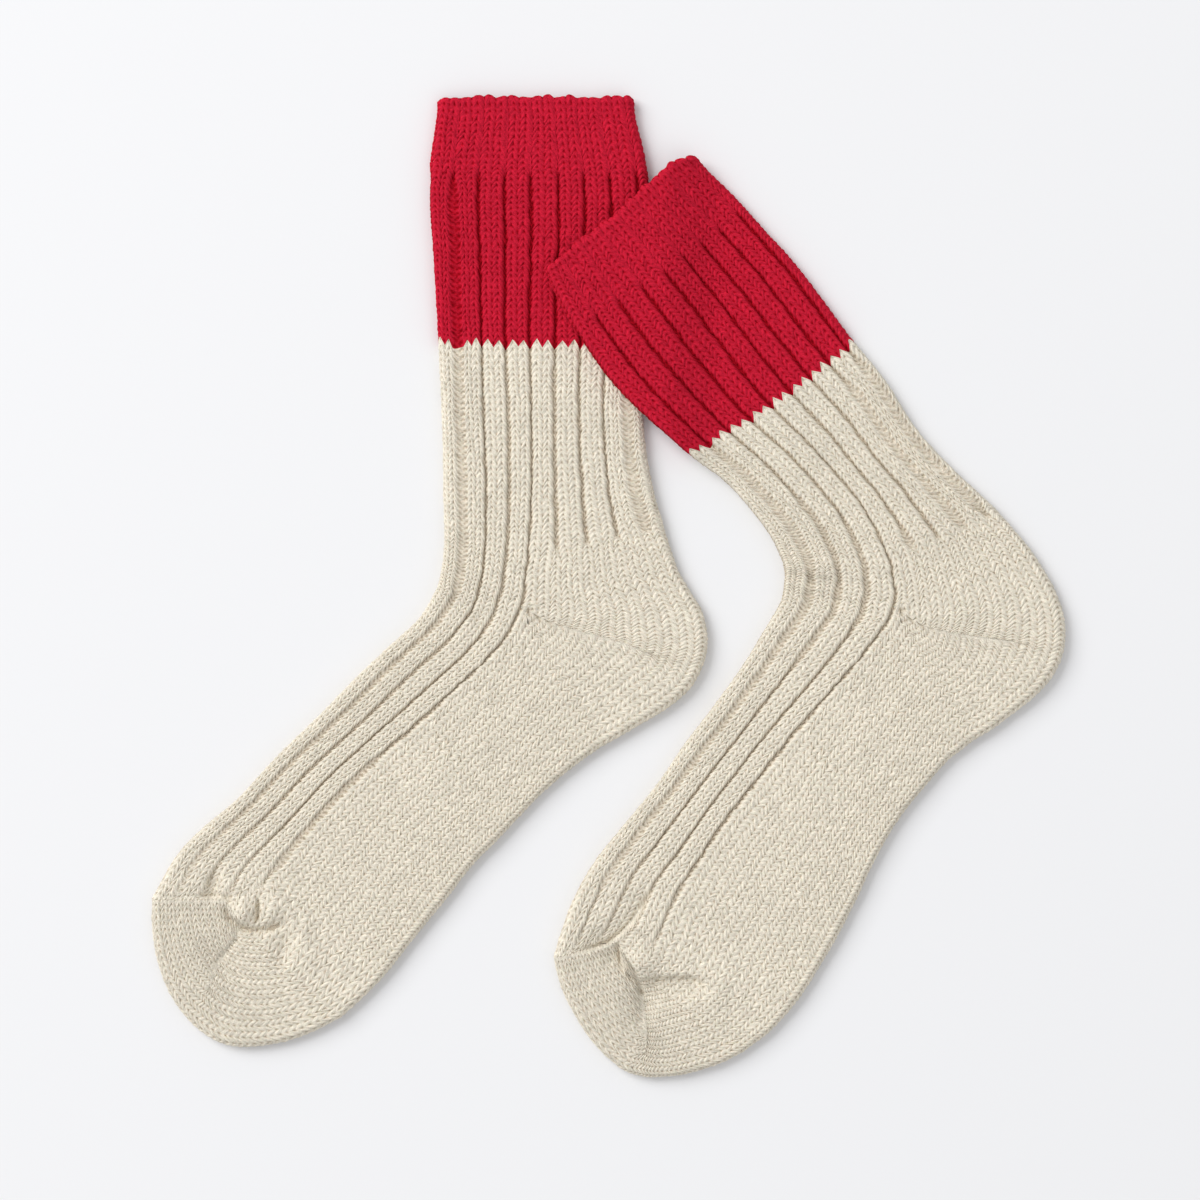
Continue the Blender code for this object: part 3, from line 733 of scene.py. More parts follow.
@dataclass(frozen=True)
class StitchForm:
    """The forms of knit and purl stitches, as shares of their heights in millimetres."""

    knit_height: float = 0.62
    purl_height: float = 0.7
    uneven: float = 0.24            # how far single legs stand higher or lower
    leg_curve: float = 1.1          # how far a leg steepens away from its apex
    purl_sag: float = 0.2           # courses that a purl bar's middle lies below its ends
    between_legs: float = 0.45      # height left between two legs of a wale
    end_dip: float = 0.38           # how far a leg falls towards its two ends
    pit_width: float = 0.13
    pit_shade_share: float = 0.9          # how much painted shade a pit gets
    level: float = 0.8              # the height that the knitting's relief is measured at
    stray: float = 0.10             # courses by which single stitches stray
    bar_step: float = 0.25          # courses between the two halves of a purl bar
    bar_stray: float = 0.2

    def slant(self, reach: Array, is_purl: Array) -> Array:
        """How far down a stitch runs at each place across its wale, in parts of a chevron.

        Args:
            reach: place between a wale's middle, at 0, and its side, at 1.
            is_purl: 1 in a purl wale, 0 in a knit wale.
        """
        knit = reach ** self.leg_curve
        purl = 1 + self.purl_sag * (1 - reach ** 2)
        return knit + (purl - knit) * is_purl

    def knit(self, reach: Array, phase: Array) -> tuple[Array, Array]:
        """Height of a knit stitch, and how far each place lies in one of its pits or between its legs,
        which sets the painted shade there.

        Args:
            reach: place between a wale's middle, at 0, and its side, at 1.
            phase: place across a leg, in courses.
        """
        leg = np.abs(np.sin(math.pi * phase))
        ridge = self.between_legs + (1 - self.between_legs) * leg ** 0.7
        ends = np.abs(2 * np.clip(reach, 0, 1) - 1)
        rounded = 1 - self.end_dip * ends ** 3
        nearest = np.minimum(reach, 1 - reach)
        pit = np.exp(-(nearest / self.pit_width) ** 2) * (1 - leg ** 1.3)
        return ridge * rounded - 0.3 * pit, 0.9 * pit + 0.14 * (1 - leg) ** 2

    def knit_at(self, column: Array, along: Array, is_purl: Array | float = 0.0) -> Stitches:
        """Knit stitches, each with its own height, place and tone.

        Args:
            column: stitch columns.
            along: courses of the stitches.
            is_purl: how far each is a purl stitch, whose yarn has one tone on both sides.
        """
        cell, index = np.floor(column + 0.5), np.floor(along)
        reach, side = np.abs(column - cell) * 2, np.sign(column - cell)
        form, pit = self.knit(reach, along + self.stray * (scatter(cell, index, 7.0) - 0.5))
        lift = self.uneven * (scatter(cell, index, side + 3.0) - 0.5)
        tone = scatter(cell, index, 1.0 + side * (1 - is_purl))
        return Stitches(form, pit, reach, side, lift, tone)

    @staticmethod
    def purl(reach: Array, course: Array) -> tuple[Array, Array]:
        """Height of a purl stitch's bar, and how far each place lies in its pits, which sets the painted
        shade there.

        Args:
            reach: place between a wale's middle, at 0, and its side, at 1.
            course: the course of each place.
        """
        bar = np.abs(np.sin(math.pi * (course + 0.85 * reach)))
        pit = (1 - bar) ** 1.3 * (0.3 + 0.6 * np.exp(-((reach - 0.5) / 0.25) ** 2))
        return 0.2 + 0.8 * bar ** 0.7, pit


STITCH = StitchForm()


class Face(Enum):
    """Faces without modelled stitches, and what their finish reads: painted shade, tone and under; the
    walls and inner faces get more painted shade than the underside.
    """

    WALL = (0.4, 0.5, 0.0)
    UNDER = (0.2, 0.5, 1.0)
    INNER = (0.6, 0.5, 1.0)


@dataclass
class Skin:
    """Points of one shell of knitting, with what its finish reads at each."""

    points: Array
    uv: Array
    hollow: Array                   # painted shade, from 0 on crowns to 1 in pits
    tone: Array                     # how light each stitch's yarn is, from 0 to 1, less the painted shade on the toe
    under: Array                    # 1 where the finish alone gives the stitches


def zip_rims(first: list[int], second: list[int]) -> list[list[int]]:
    """Triangles between two lines of points that run side by side.

    Args:
        first: point numbers along one line.
        second: point numbers along the other, in the same direction.

    Returns:
        The triangles.
    """
    triangles, i, j = [], 0, 0
    first, second = list(first), list(second)
    while i < len(first) - 1 or j < len(second) - 1:
        step_first = (i + 1) / max(len(first) - 1, 1)
        step_second = (j + 1) / max(len(second) - 1, 1)
        if j == len(second) - 1 or (i < len(first) - 1 and step_first <= step_second):
            triangles.append([first[i], first[i + 1], second[j]])
            i += 1
        else:
            triangles.append([first[i], second[j + 1], second[j]])
            j += 1
    return [triangle for triangle in triangles if len(set(triangle)) == 3]


def grid_faces(numbers: Array) -> list[list[int]]:
    """Faces between neighbouring points of a grid, with points that are the same merged."""
    corners = np.stack((numbers[:-1, :-1], numbers[:-1, 1:], numbers[1:, 1:], numbers[1:, :-1]), axis=-1)
    corners = corners.reshape(-1, 4)
    ordered = np.sort(corners, axis=1)
    whole = (np.diff(ordered, axis=1) > 0).all(axis=1)
    faces = corners[whole].tolist()
    for face in corners[~whole].tolist():
        kept = [corner for place, corner in enumerate(face) if corner != face[place - 1]]
        if len(set(kept)) >= 3:
            faces.append(kept)
    return faces


class KnitShell:
    """A growing closed mesh of knitting, with what its finish reads at each point."""

    def __init__(self) -> None:
        """Start with no points."""
        self.skins: list[Skin] = []
        self.faces: list[list[int]] = []
        self.count = 0

    def add(self, points: Array, uv: Array, reads: Face | tuple[Array | float, ...]) -> Array:
        """Add points of any shape of array.

        Args:
            points: the points, in metres.
            uv: stitch column and course of each.
            reads: what the finish reads there: painted shade, tone and under.

        Returns:
            Their numbers, in the same shape.
        """
        shape = points.shape[:-1]
        values = reads.value if isinstance(reads, Face) else reads
        spread = (np.broadcast_to(np.asarray(value, dtype=float), shape).reshape(-1) for value in values)
        self.skins.append(Skin(points.reshape(-1, 3), uv.reshape(-1, 2), *spread))
        numbers = self.count + np.arange(int(np.prod(shape))).reshape(shape)
        self.count += numbers.size
        return numbers

    def drop_unused(self) -> None:
        """Leave out the points that no face uses, and number the rest again."""
        used = np.zeros(self.count, dtype=bool)
        for face in self.faces:
            used[face] = True
        numbers = np.cumsum(used) - 1
        self.faces = [[int(numbers[corner]) for corner in face] for face in self.faces]
        ends = np.cumsum([len(skin.points) for skin in self.skins])[:-1]
        self.skins = [Skin(*(values[kept] for values in vars(skin).values()))
                      for skin, kept in zip(self.skins, np.split(used, ends))]

    def build(self, name: str) -> bpy.types.Object:
        """Write the mesh and link its object.

        Args:
            name: the object's name.

        Returns:
            The object.
        """
        def joined(part: str) -> Array:
            """One part of all the skins together."""
            return np.concatenate([getattr(skin, part) for skin in self.skins])

        mesh = bpy.data.meshes.new(name)
        mesh.from_pydata(joined("points").tolist(), [], self.faces)
        work = bmesh.new()
        work.from_mesh(mesh)
        bmesh.ops.recalc_face_normals(work, faces=work.faces)
        work.to_mesh(mesh)
        work.free()
        mesh.shade_smooth()
        mesh.set_sharp_from_angle(angle=math.radians(SHARP_DEGREES))
        for part in FINISH_READS:
            layer = mesh.attributes.new(part, "FLOAT", "POINT")
            layer.data.foreach_set("value", joined(part).astype(np.float32))
        corners = np.empty(len(mesh.loops), dtype=np.int32)
        mesh.loops.foreach_get("vertex_index", corners)
        uv_layer = mesh.uv_layers.new(name=UV_NAME)
        uv_layer.data.foreach_set("uv", joined("uv")[corners].astype(np.float32).ravel())
        piece = bpy.data.objects.new(name, mesh)
        bpy.context.scene.collection.objects.link(piece)
        return piece


@dataclass(frozen=True)
class Wander:
    """How far hand-guided stitches stray from even rows and columns."""

    long_wale: float = 0.22         # wales that the ribs sway sideways
    short_wale: float = 0.12
    long_course: float = 0.28       # courses that neighbouring wales run ahead
    short_course: float = 0.19

    def wales(self, column: Array, along: Array) -> Array:
        """Sideways shifts, in wales, at stitch columns and courses."""
        return (self.long_wale * drift(1.0, column / 5.0, along / 17.0)
                + self.short_wale * drift(2.0, column / 0.9, along / 1.1))

    def courses(self, column: Array, along: Array) -> Array:
        """Lengthways shifts, in courses, which are never back towards the cuff."""
        return (self.long_course * (1 + drift(3.0, column / 2.3, along / 9.0))
                + self.short_course * (1 + drift(4.0, column / 0.8, along / 1.2)))


WANDER = Wander()


@dataclass
class KnitPiece:
    """One piece of a sock: a thin closed shell of knitting."""

    form: SockForm
    part: str
    seam_shade_share: ClassVar[float] = 0.45     # share of the painted shade in pits left at a straight seam
    shade_fade: ClassVar[float] = 0.8      # courses over which it comes back

    @property
    def name(self) -> str:
        """The name of the solid that this piece stands for."""
        return f"{self.form.name}_{self.part}"

    def points(self, course: Array, wale: Array, layer: Layer, relief: Array, depth: float) -> Array:
        """Points of the piece, in metres, which each kind of piece places in its own way."""
        raise NotImplementedError

    def close_ends(self, shell: KnitShell, places: tuple[Array, Array, Array], upper: Array,
                   under: Array, inner: tuple[Array, Array]) -> None:
        """Close both ends, from the outer faces through the wall to the inner ones.

        Args:
            shell: the mesh.
            places: course, wale and UV of the upper layer's points.
            upper: their numbers.
            under: the numbers of the under layer's points.
            inner: those of the inner faces, whose rows run the same way as the outer ones.
        """
        course, wale, uv = places
        for end in (0, -1):
            low = self.points(course[[end]], wale[[end]], Layer.UPPER, np.zeros_like(wale[[end]]),
                              FABRIC.wall)
            rim = inner[0][end]
            wall = shell.add(low[0], uv[end], Face.WALL)
            wall[0], wall[-1] = rim[0], rim[-1]
            shell.faces += grid_faces(np.stack((upper[end], wall)))
            shell.faces += zip_rims(wall.tolist(), rim.tolist())
            shell.faces += zip_rims(under[end].tolist(), inner[1][end].tolist())

    @staticmethod
    def near_seam(hollow: Array, courses_left: Array, follow: Array) -> Array:
        """Painted shade in pits that fades where the piece ends in a straight seam.

        Args:
            hollow: 0 on crowns to 1 in pits.
            courses_left: courses up to the piece's end.
            follow: how far the rows of points follow the stitches' legs there.
        """
        left = ease(courses_left / KnitPiece.shade_fade + follow)
        return hollow * (KnitPiece.seam_shade_share + (1 - KnitPiece.seam_shade_share) * left)


class Joint(Enum):
    """How a piece of tube meets the next: where its edge follows the stitches."""

    STRAIGHT = (False, False)
    SOLE = (False, True)
    ALL_BUT_BORDER = (True, True)
    ALL = None

    def follow(self, before: Array, behind: Array) -> Array:
        """How far an edge follows the stitches, where before and behind are 1 beside the border."""
        if self is Joint.ALL:
            return np.ones_like(before)
        return before * self.value[0] + behind * self.value[1]


@dataclass
class TubePiece(KnitPiece):
    """A stretch of flattened tube: the cuff, the leg or the foot."""

    stretch: Stretch
    first: float
    last: float
    open_start: Joint
    open_end: Joint
    onward: "PocketPiece | None" = None
    seam_fade: float = 2.5
    lip: float = 1.3                # courses over which the cuff's edge rounds down
    lip_fall: float = 0.8
    lip_rise: float = 0.3
    loop_reach: float = 0.3         # courses that the cuff's end loops stand out
    seam_plain: float = 5.0         # courses over which the ribs fade before the toe
    ribs_left: float = 1.0          # courses between the toe and where they have gone
    border_left: float = 5.0        # the same for the groove at the border
    shallow: tuple[float, float] = (2.0, 24.0)      # courses left at half depth, and up to the whole
    crown_fade: float = 4.0         # courses over which the crowns sink to plain knitting's
    last_cell: int = 24             # the last whole stitch column before the back fold
    pattern: RibPattern = field(init=False)

    def __post_init__(self) -> None:
        """Take the grooves' openings from the sock."""
        self.pattern = RibPattern(self.form.openings)

    @property
    def is_foot(self) -> bool:
        """Whether the wales behind the border are plain all along."""
        return self.stretch is Stretch.FOOT

    @property
    def is_cuff(self) -> bool:
        """Whether the piece starts at the sock's opening."""
        return self.part == "cuff"

    @property
    def length(self) -> float:
        """The knitting's length along the rib border, in metres."""
        border = CourseLines(self.form.table(self.stretch), np.linspace(self.first, self.last, 60)).border
        return length_of(border) * MM

    def fade(self, course: Array, column: Array) -> Array:
        """How far the rows of points follow the stitches' legs, from 0 at a straight seam to 1."""
        at_start = ease((course - self.first) / self.seam_fade)
        at_end = ease((self.last - course) / self.seam_fade)
        before, behind = ease((FABRIC.border_wale - 0.7 - column) / 0.8), on_sole(column)
        at_start = np.maximum(at_start, self.open_start.follow(before, behind))
        at_end = np.maximum(at_end, self.open_end.follow(before, behind))
        return at_start * at_end

    def stitch_columns(self, front: Array, back: Array) -> Array:
        """Stitch columns of the points along each row, between the folds."""
        inner = []
        for cell in range(1, self.last_cell + 1):
            is_purl = cell % 3 == 0 and not (self.is_foot and cell > FABRIC.border_wale)
            count = SAMPLING.purl_columns if is_purl else SAMPLING.knit_columns
            inner += [cell - 0.5 + step / count for step in range(count)]
        inner = np.array([*inner, self.last_cell + 0.5])
        return np.array([np.concatenate((
            np.linspace(low, inner[0], 4)[:-1], inner,
            np.linspace(inner[-1], high, SAMPLING.knit_columns + 1)[1:],
        )) for low, high in zip(front, back)])

    def grooves(self, base: Array) -> tuple[Array, Array, Array]:
        """Half width, depth and share of purl of each groove, at each row of points."""
        along = base + self.stretch.value
        widths = self.pattern.half_widths(along)
        depths = self.pattern.depths(along, widths)
        purl = self.pattern.purl(along)
        if self.is_foot:
            left = self.last - base
            border = round(FABRIC.border_wale / FABRIC.rib_wales)
            plain = ease((left - self.ribs_left) / self.seam_plain)[:, None]
            border_plain = ease((left - self.border_left) / self.seam_plain)
            purl[:, border + 1:], depths[:, border + 1:], widths[:, border + 1:] = 0.0, 0.0, 0.5
            purl[:, border] = border_plain
            start, reach = self.shallow
            depths = depths * plain * (0.5 + 0.5 * ease((left - start) / reach)[:, None])
            depths[:, border] = depths[:, border] * border_plain
            widths = 0.5 + (widths - 0.5) * plain
            widths[:, border] = 0.5 + (widths[:, border] - 0.5) * border_plain
        return widths, depths, purl

    def surface(self, along: Array, column: Array, wale: Array, is_purl: Array,
                grooves: tuple[Array, Array, Array]) -> tuple[Array, Array, Array]:
        """The knitting's relief in millimetres, its painted shade in pits and grooves, and the yarn's tone.

        Args:
            along: courses of the stitches, counted from the top.
            column: their stitch columns.
            wale: their wales.
            is_purl: how far each is a purl stitch.
            grooves: half width, depth and share of purl of the grooves, for each row of points.
        """
        pattern = self.pattern
        widths, depths, purl = grooves
        groove = nearest_groove(wale)
        row = np.arange(len(widths))[:, None]
        width, depth = widths[row, groove], depths[row, groove]
        away = np.abs(wale - groove * FABRIC.rib_wales)
        rise = np.clip((away - pattern.floor_share * width) / pattern.shoulder, 0, 1)
        dip = depth * (1 - np.sqrt(1 - (1 - rise) ** 2))
        stitch = STITCH.knit_at(column, along, is_purl)
        stagger = STITCH.bar_step * stitch.side + STITCH.bar_stray * drift(8.0, column / 0.45, along / 0.7)
        bar, bar_pit = STITCH.purl(
            stitch.reach, along + FABRIC.chevron * STITCH.slant(stitch.reach, is_purl) + stagger)
        form = stitch.form + (bar - stitch.form) * is_purl
        hidden = is_purl * (1 - np.clip((width - pattern.hidden) / pattern.hide_width, 0, 1))
        form = form + (pattern.hide_level - form) * hidden
        pit = (stitch.pit + (bar_pit - stitch.pit) * is_purl) * (1 - hidden)
        size = STITCH.knit_height + (STITCH.purl_height - STITCH.knit_height) * is_purl
        ribbed = purl[row, np.where(wale > FABRIC.border_wale, FABRIC.grooves - 1, 0)]
        crown = FABRIC.plain_relief + (FABRIC.rib_relief - FABRIC.plain_relief) * ribbed
        behind = ease((wale - FABRIC.border_wale) / FABRIC.border_ease)
        crown = FABRIC.rib_relief + (crown - FABRIC.rib_relief) * behind
        if self.is_foot:
            near_toe = ease((along - self.last - self.stretch.value + self.border_left) / self.crown_fade)
            crown = crown + (FABRIC.plain_relief - crown) * near_toe
        middle = np.abs((wale / FABRIC.rib_wales) % 1.0 - 0.5) * 2
        rounded = pattern.roundness * middle ** 2 * np.clip(depth / pattern.closed_depth, 0, 1)
        relief = crown - dip - rounded + size * (form - STITCH.level) + stitch.lift * form
        # painted shade deep in the grooves, on top of that in the pits
        groove_shade = np.clip(dip / pattern.closed_depth, 0, 1) ** 1.5
        return relief, np.clip(STITCH.pit_shade_share * pit + 0.5 * groove_shade, 0, 1), stitch.tone

    def build(self) -> bpy.types.Object:
        """Model the piece."""
        shell = KnitShell()
        count = round((self.last - self.first) * SAMPLING.rows) + 1
        base = np.linspace(self.first, self.last, count)
        grooves = self.grooves(base)
        widths, purl = grooves[0], grooves[2]
        knot_columns, knot_wales = self.pattern.knots(widths)
        lines = CourseLines(self.form.table(self.stretch), base)
        front, back = (np.array([np.interp(fold[i], knot_wales[i], knot_columns) for i in range(count)])
                       for fold in (lines.front_wale, lines.back_wale))
        column = self.stitch_columns(front, back)
        wale = np.array([np.interp(column[i], knot_columns, knot_wales[i]) for i in range(count)])
        wale[:, 0], wale[:, -1] = lines.front_wale, lines.back_wale
        base = base[:, None]
        cell = np.floor(column + 0.5)
        groove = nearest_groove(cell)
        is_purl = (np.abs(cell - groove * FABRIC.rib_wales) < 0.1) * purl[np.arange(count)[:, None], groove]
        follow = self.fade(base, column)
        slant = FABRIC.chevron * STITCH.slant(np.abs(column - cell) * 2, is_purl)
        along = base + self.stretch.value + np.zeros_like(column)
        stitch_along = along - slant * (1 - follow)
        relief, hollow, tone = self.surface(stitch_along, column, wale, is_purl, grooves)
        if self.is_cuff:
            edge = np.clip(1 - (base + slant * follow) / self.lip, 0, 1)
            relief = (relief - self.lip_fall * (1 - np.sqrt(1 - edge ** 2))
                      + self.lip_rise * np.sin(math.pi * edge))
        free = ease((wale - lines.front_wale[:, None]) / 2) * ease((lines.back_wale[:, None] - wale) / 2)
        free = free * follow
        if self.is_foot:
            behind = ease((column - FABRIC.border_wale) / 0.8)
            free = free * np.minimum(1, 1 - behind * (1 - ease(base / self.seam_fade)))
        course = base + slant * follow + WANDER.courses(column, along) * free
        placed = wale + WANDER.wales(column, along) * free
        if self.is_cuff:
            loops = self.loop_reach * np.abs(np.cos(math.pi * column)) ** 0.7 * (1 - is_purl)
            loops = loops + self.loop_reach * drift(6.0, wale / 1.3, along)
            course = course - (0.05 + np.maximum(loops, 0)) * np.sqrt(edge)
        points = self.points(course, placed, Layer.UPPER, relief, 0.0)
        uv = np.stack((column, stitch_along), axis=-1)
        hollow = self.near_seam(hollow, self.last - base, follow)
        upper = shell.add(points, uv, (hollow, tone, 0.0))
        under = self.under_layer(shell, base, slant * follow, lines, relief)
        under = np.concatenate((upper[:, :1], under, upper[:, -1:]), axis=1)
        shell.faces += grid_faces(upper) + grid_faces(under)
        self.close_ends(shell, (course, placed, uv), upper, under, self.inner_layers(shell))
        return shell.build(f"{self.name}_knit")

    def points(self, course: Array, wale: Array, layer: Layer, relief: Array, depth: float) -> Array:
        """Points of the tube, where its last stitches run on into the next piece."""
        here = self.form.run_points(course + self.stretch.value, wale, layer, relief, depth)
        beyond = (course > self.last) & (wale > FABRIC.border_wale)
        if self.onward is None or not beyond.any():
            return here
        relief = np.broadcast_to(relief, course.shape)
        here[beyond] = self.onward.row_points(course[beyond] - self.last, wale[beyond], layer,
                                              relief[beyond], depth)
        return here

    def under_layer(self, shell: KnitShell, base: Array, offset: Array, lines: CourseLines,
                    relief: Array) -> Array:
        """Points of the under layer between the folds, where the sock rests flat."""
        front, back = lines.front_wale[:, None], lines.back_wale[:, None]
        beside = np.array(SAMPLING.fold_shares) * SAMPLING.fold_wales
        low, high = front + SAMPLING.fold_clear, back - SAMPLING.fold_clear
        flat = np.linspace(0, 1, SAMPLING.under_columns)
        wale = np.concatenate((front + beside, low + (high - low) * flat, back - beside[::-1]), axis=1)
        share = (wale - front) / (back - front)
        course = base + offset[:, :1] * beside_back(1 - share) + offset[:, -1:] * beside_back(share)
        edge = relief[:, :1] + (relief[:, -1:] - relief[:, :1]) * share
        points = self.points(course, wale, Layer.UNDER, edge, 0.0)
        return shell.add(points, np.stack((wale, course + self.stretch.value), axis=-1), Face.UNDER)

    def inner_layers(self, shell: KnitShell) -> tuple[Array, Array]:
        """The plain inner faces of both layers."""
        count = math.ceil((self.last - self.first) / SAMPLING.inner_courses) + 1
        base = np.linspace(self.first + 0.5, self.last - 0.5, count)
        lines = CourseLines(self.form.table(self.stretch), base)
        edge = np.array(SAMPLING.inner_edge)
        shares = np.concatenate((edge, np.linspace(0.1, 0.9, SAMPLING.inner_columns), 1 - edge[::-1]))
        wale = lines.front_wale[:, None] + (lines.back_wale - lines.front_wale)[:, None] * shares
        course = np.repeat(base[:, None], len(shares), axis=1)
        uv = np.stack((wale, course + self.stretch.value), axis=-1)
        above, below = (self.points(course, wale, layer, np.zeros_like(wale), FABRIC.wall)
                        for layer in Layer)
        upper = shell.add(above, uv, Face.INNER)
        under = shell.add(below[:, 1:-1], uv[:, 1:-1], Face.INNER)
        under = np.concatenate((upper[:, :1], under, upper[:, -1:]), axis=1)
        shell.faces += grid_faces(upper) + grid_faces(under)
        return upper, under


@dataclass
class PocketPiece(KnitPiece):
    """A heel or toe pocket: short rows that turn on a gore, between two halves of a fold."""

    gore: tuple[tuple[float, float], ...]
    edge: tuple[tuple[float, float], ...]
    rims: tuple[Callable[[Array], Array], Callable[[Array], Array]]
    knitted: float                  # courses knitted before the pocket
    holes: float                    # how open the turns are along the gore
    hole_rows: float                # short rows over which they close up
    corner_relief: float            # how far the knitting stands up at the gore's start
    onward: TubePiece | None = None
    shade: float = 0.0              # painted shade: how much darker the yarn's tone is made away from the first rim
    shade_courses: float = 14.0
    hole_width: float = 0.4         # wales
    hole_depth: float = 1.1
    turn_width: float = 0.3         # wales beside the gore where the stitches lose their form
    turn_fade: float = 0.6          # wales beside it where rows of points turn straight
    turn_reach: float = 1.2         # wales beside it where no stitch crosses to the other half
    steady: float = 0.6             # how much less the wales stray away from the two rims
    steady_rows: float = 5.0        # short rows over which that sets in
    back_wale: float = 25.5
    seam_fade: float = 2.5

    @property
    def courses(self) -> float:
        """Courses of both halves."""
        return 2 * FABRIC.turn_rows

    @property
    def length(self) -> float:
        """The knitting's length along the fold, in metres."""
        return length_of(np.array(self.edge)) * MM

    def row(self, course: Array) -> Array:
        """The short row of each course, counted from the nearer rim."""
        return np.clip(np.minimum(course, self.courses - course), 0, FABRIC.turn_rows)

    def gore_wale(self, course: Array) -> Array:
        """The wale where each row turns."""
        return FABRIC.border_wale + self.row(course) * FABRIC.gore_slope

    def spots(self, course: Array, along: Array, layer: Layer, relief: Array, depth: float) -> Array:
        """Points of the pocket, in metres.

        Args:
            course: courses from the first rim.
            along: places along each row, from 0 at the fold to 1 at the gore.
            layer: the layer that they are on.
            relief: how far the knitting stands up there.
            depth: how far below the face they are.
        """
        gore, edge = np.array(self.gore), np.array(self.edge)
        share = self.row(course) / FABRIC.turn_rows
        start = curve_through(gore, share * (len(gore) - 1))
        end = inset_point(curve_through(edge, course / self.courses * (len(edge) - 1)), start)
        span = np.linalg.norm(end - start, axis=-1)
        arc = (span + FABRIC.fold_arc - FABRIC.fold_radius) * along
        inset, height, out, up = fold_profile(arc)
        reach = np.clip(1 - inset / span, 0, 1)
        plan = start + (end - start) * reach[..., None]
        for half, rim in enumerate(self.rims):
            low, high = rim(np.zeros(1)), rim(np.ones(1))
            bow = rim(reach) - (low + (high - low) * reach[..., None])
            belongs = (course < FABRIC.turn_rows) == (half == 0)
            plan = plan + bow * (belongs * (1 - share) ** 2)[..., None]
        return self.form.place(plan, unit(end - start), (height, out, up), layer, relief, depth)

    def row_points(self, course: Array, wale: Array, layer: Layer, relief: Array, depth: float) -> Array:
        """Points of the pocket at courses from its first rim, and at wales."""
        share = (self.back_wale - wale) / (self.back_wale - self.gore_wale(course))
        return self.spots(course, np.clip(share, 0, 1), layer, relief, depth)

    def points(self, course: Array, wale: Array, layer: Layer, relief: Array, depth: float) -> Array:
        """Points of the pocket, where its last stitches run on into the sole."""
        here = self.row_points(np.minimum(course, self.courses), wale, layer, relief, depth)
        beyond = course > self.courses
        if self.onward is None or not beyond.any():
            return here
        relief = np.broadcast_to(relief, course.shape)
        here[beyond] = self.form.tube_points(Stretch.FOOT, course[beyond] - self.courses, wale[beyond],
                                             layer, relief[beyond], depth)
        return here

    def surface(self, course: Array, along: Array, column: Array,
                gore: Array) -> tuple[Array, Array, Array]:
        """The relief, the painted shade in pits and gore holes, and the tone of plain knitting.

        Args:
            course: courses from the first rim.
            along: courses of the stitches.
            column: their stitch columns.
            gore: the wales where their rows turn.
        """
        stitch = STITCH.knit_at(column, along)
        row = self.row(course)
        beside = np.exp(-((column - gore) / self.hole_width) ** 2) * self.holes
        beside = beside * np.exp(-(row / self.hole_rows) ** 2)
        hole = beside * (0.5 - 0.5 * np.cos(math.pi * row))
        away = ease((column - FABRIC.border_wale) / FABRIC.border_ease)
        crown = self.corner_relief + (FABRIC.plain_relief - self.corner_relief) * away
        turned = np.exp(-((column - gore) / self.turn_width) ** 2)
        form, pit = stitch.form + (STITCH.level - stitch.form) * turned, stitch.pit * (1 - turned)
        relief = crown + STITCH.knit_height * (form - STITCH.level) + stitch.lift * form
        relief = relief - self.hole_depth * hole
        # the gore's holes are sunk and also get painted shade
        return relief, np.clip(STITCH.pit_shade_share * pit + 0.8 * hole, 0, 1), stitch.tone

    def build(self) -> bpy.types.Object:
        """Model the piece."""
        shell = KnitShell()
        count = round(self.courses * SAMPLING.rows) + 1
        base = np.linspace(0, self.courses, count)[:, None]
        steps = round((self.back_wale - FABRIC.border_wale) * SAMPLING.knit_columns)
        lattice = np.linspace(FABRIC.border_wale, self.back_wale, steps + 1)
        turn = self.gore_wale(base)
        column = np.maximum(lattice[None, :], turn)
        reach = np.abs(column - np.floor(column + 0.5)) * 2
        behind = on_sole(column)
        follow = np.maximum(ease(base / self.seam_fade), behind) * ease((column - turn) / self.turn_fade)
        at_end = ease((self.courses - base) / self.seam_fade)
        follow = follow * (np.maximum(at_end, behind) if self.onward else at_end)
        slant = FABRIC.chevron * STITCH.slant(reach, np.zeros_like(reach))
        knitted = base + self.knitted + np.zeros_like(column)
        free = follow * ease((self.back_wale - column) / 2) * at_end
        course = base + slant * follow + WANDER.courses(column, knitted) * free
        course = np.maximum(course, 0)
        crossed = (course < FABRIC.turn_rows) != (base < FABRIC.turn_rows)
        course = np.where(crossed & (column < turn + self.turn_reach), FABRIC.turn_rows, course)
        steady = 1 - self.steady * ease(self.row(base) / self.steady_rows)
        placed = column + WANDER.wales(column, knitted) * free * steady
        placed = np.maximum(placed, self.gore_wale(course))
        stitch_along = knitted - slant * (1 - follow)
        relief, hollow, tone = self.surface(course, stitch_along, column, turn)
        # painted shade on the pocket, darker away from its first rim, used on the toe
        tone = tone - self.shade * ease(base / self.shade_courses)
        points = self.points(course, placed, Layer.UPPER, relief, 0.0)
        uv = np.stack((column, stitch_along), axis=-1)
        hollow = self.near_seam(hollow, self.courses - base, follow)
        upper = shell.add(points, uv, (hollow, tone, 0.0))
        upper = self.share_gore(upper, lattice[None, :] <= turn + 1e-9, 0)
        under = self.under_layer(shell, base, (slant * follow)[:, -1:], relief[:, -1:])
        under = np.concatenate((upper[:, -1:], under), axis=1)
        shell.faces += grid_faces(upper) + grid_faces(under)
        inner_upper, inner_under = self.inner_layers(shell)
        self.close_ends(shell, (course, placed, uv), upper, under, (inner_upper[:, ::-1], inner_under))
        shell.drop_unused()
        return shell.build(f"{self.name}_knit")

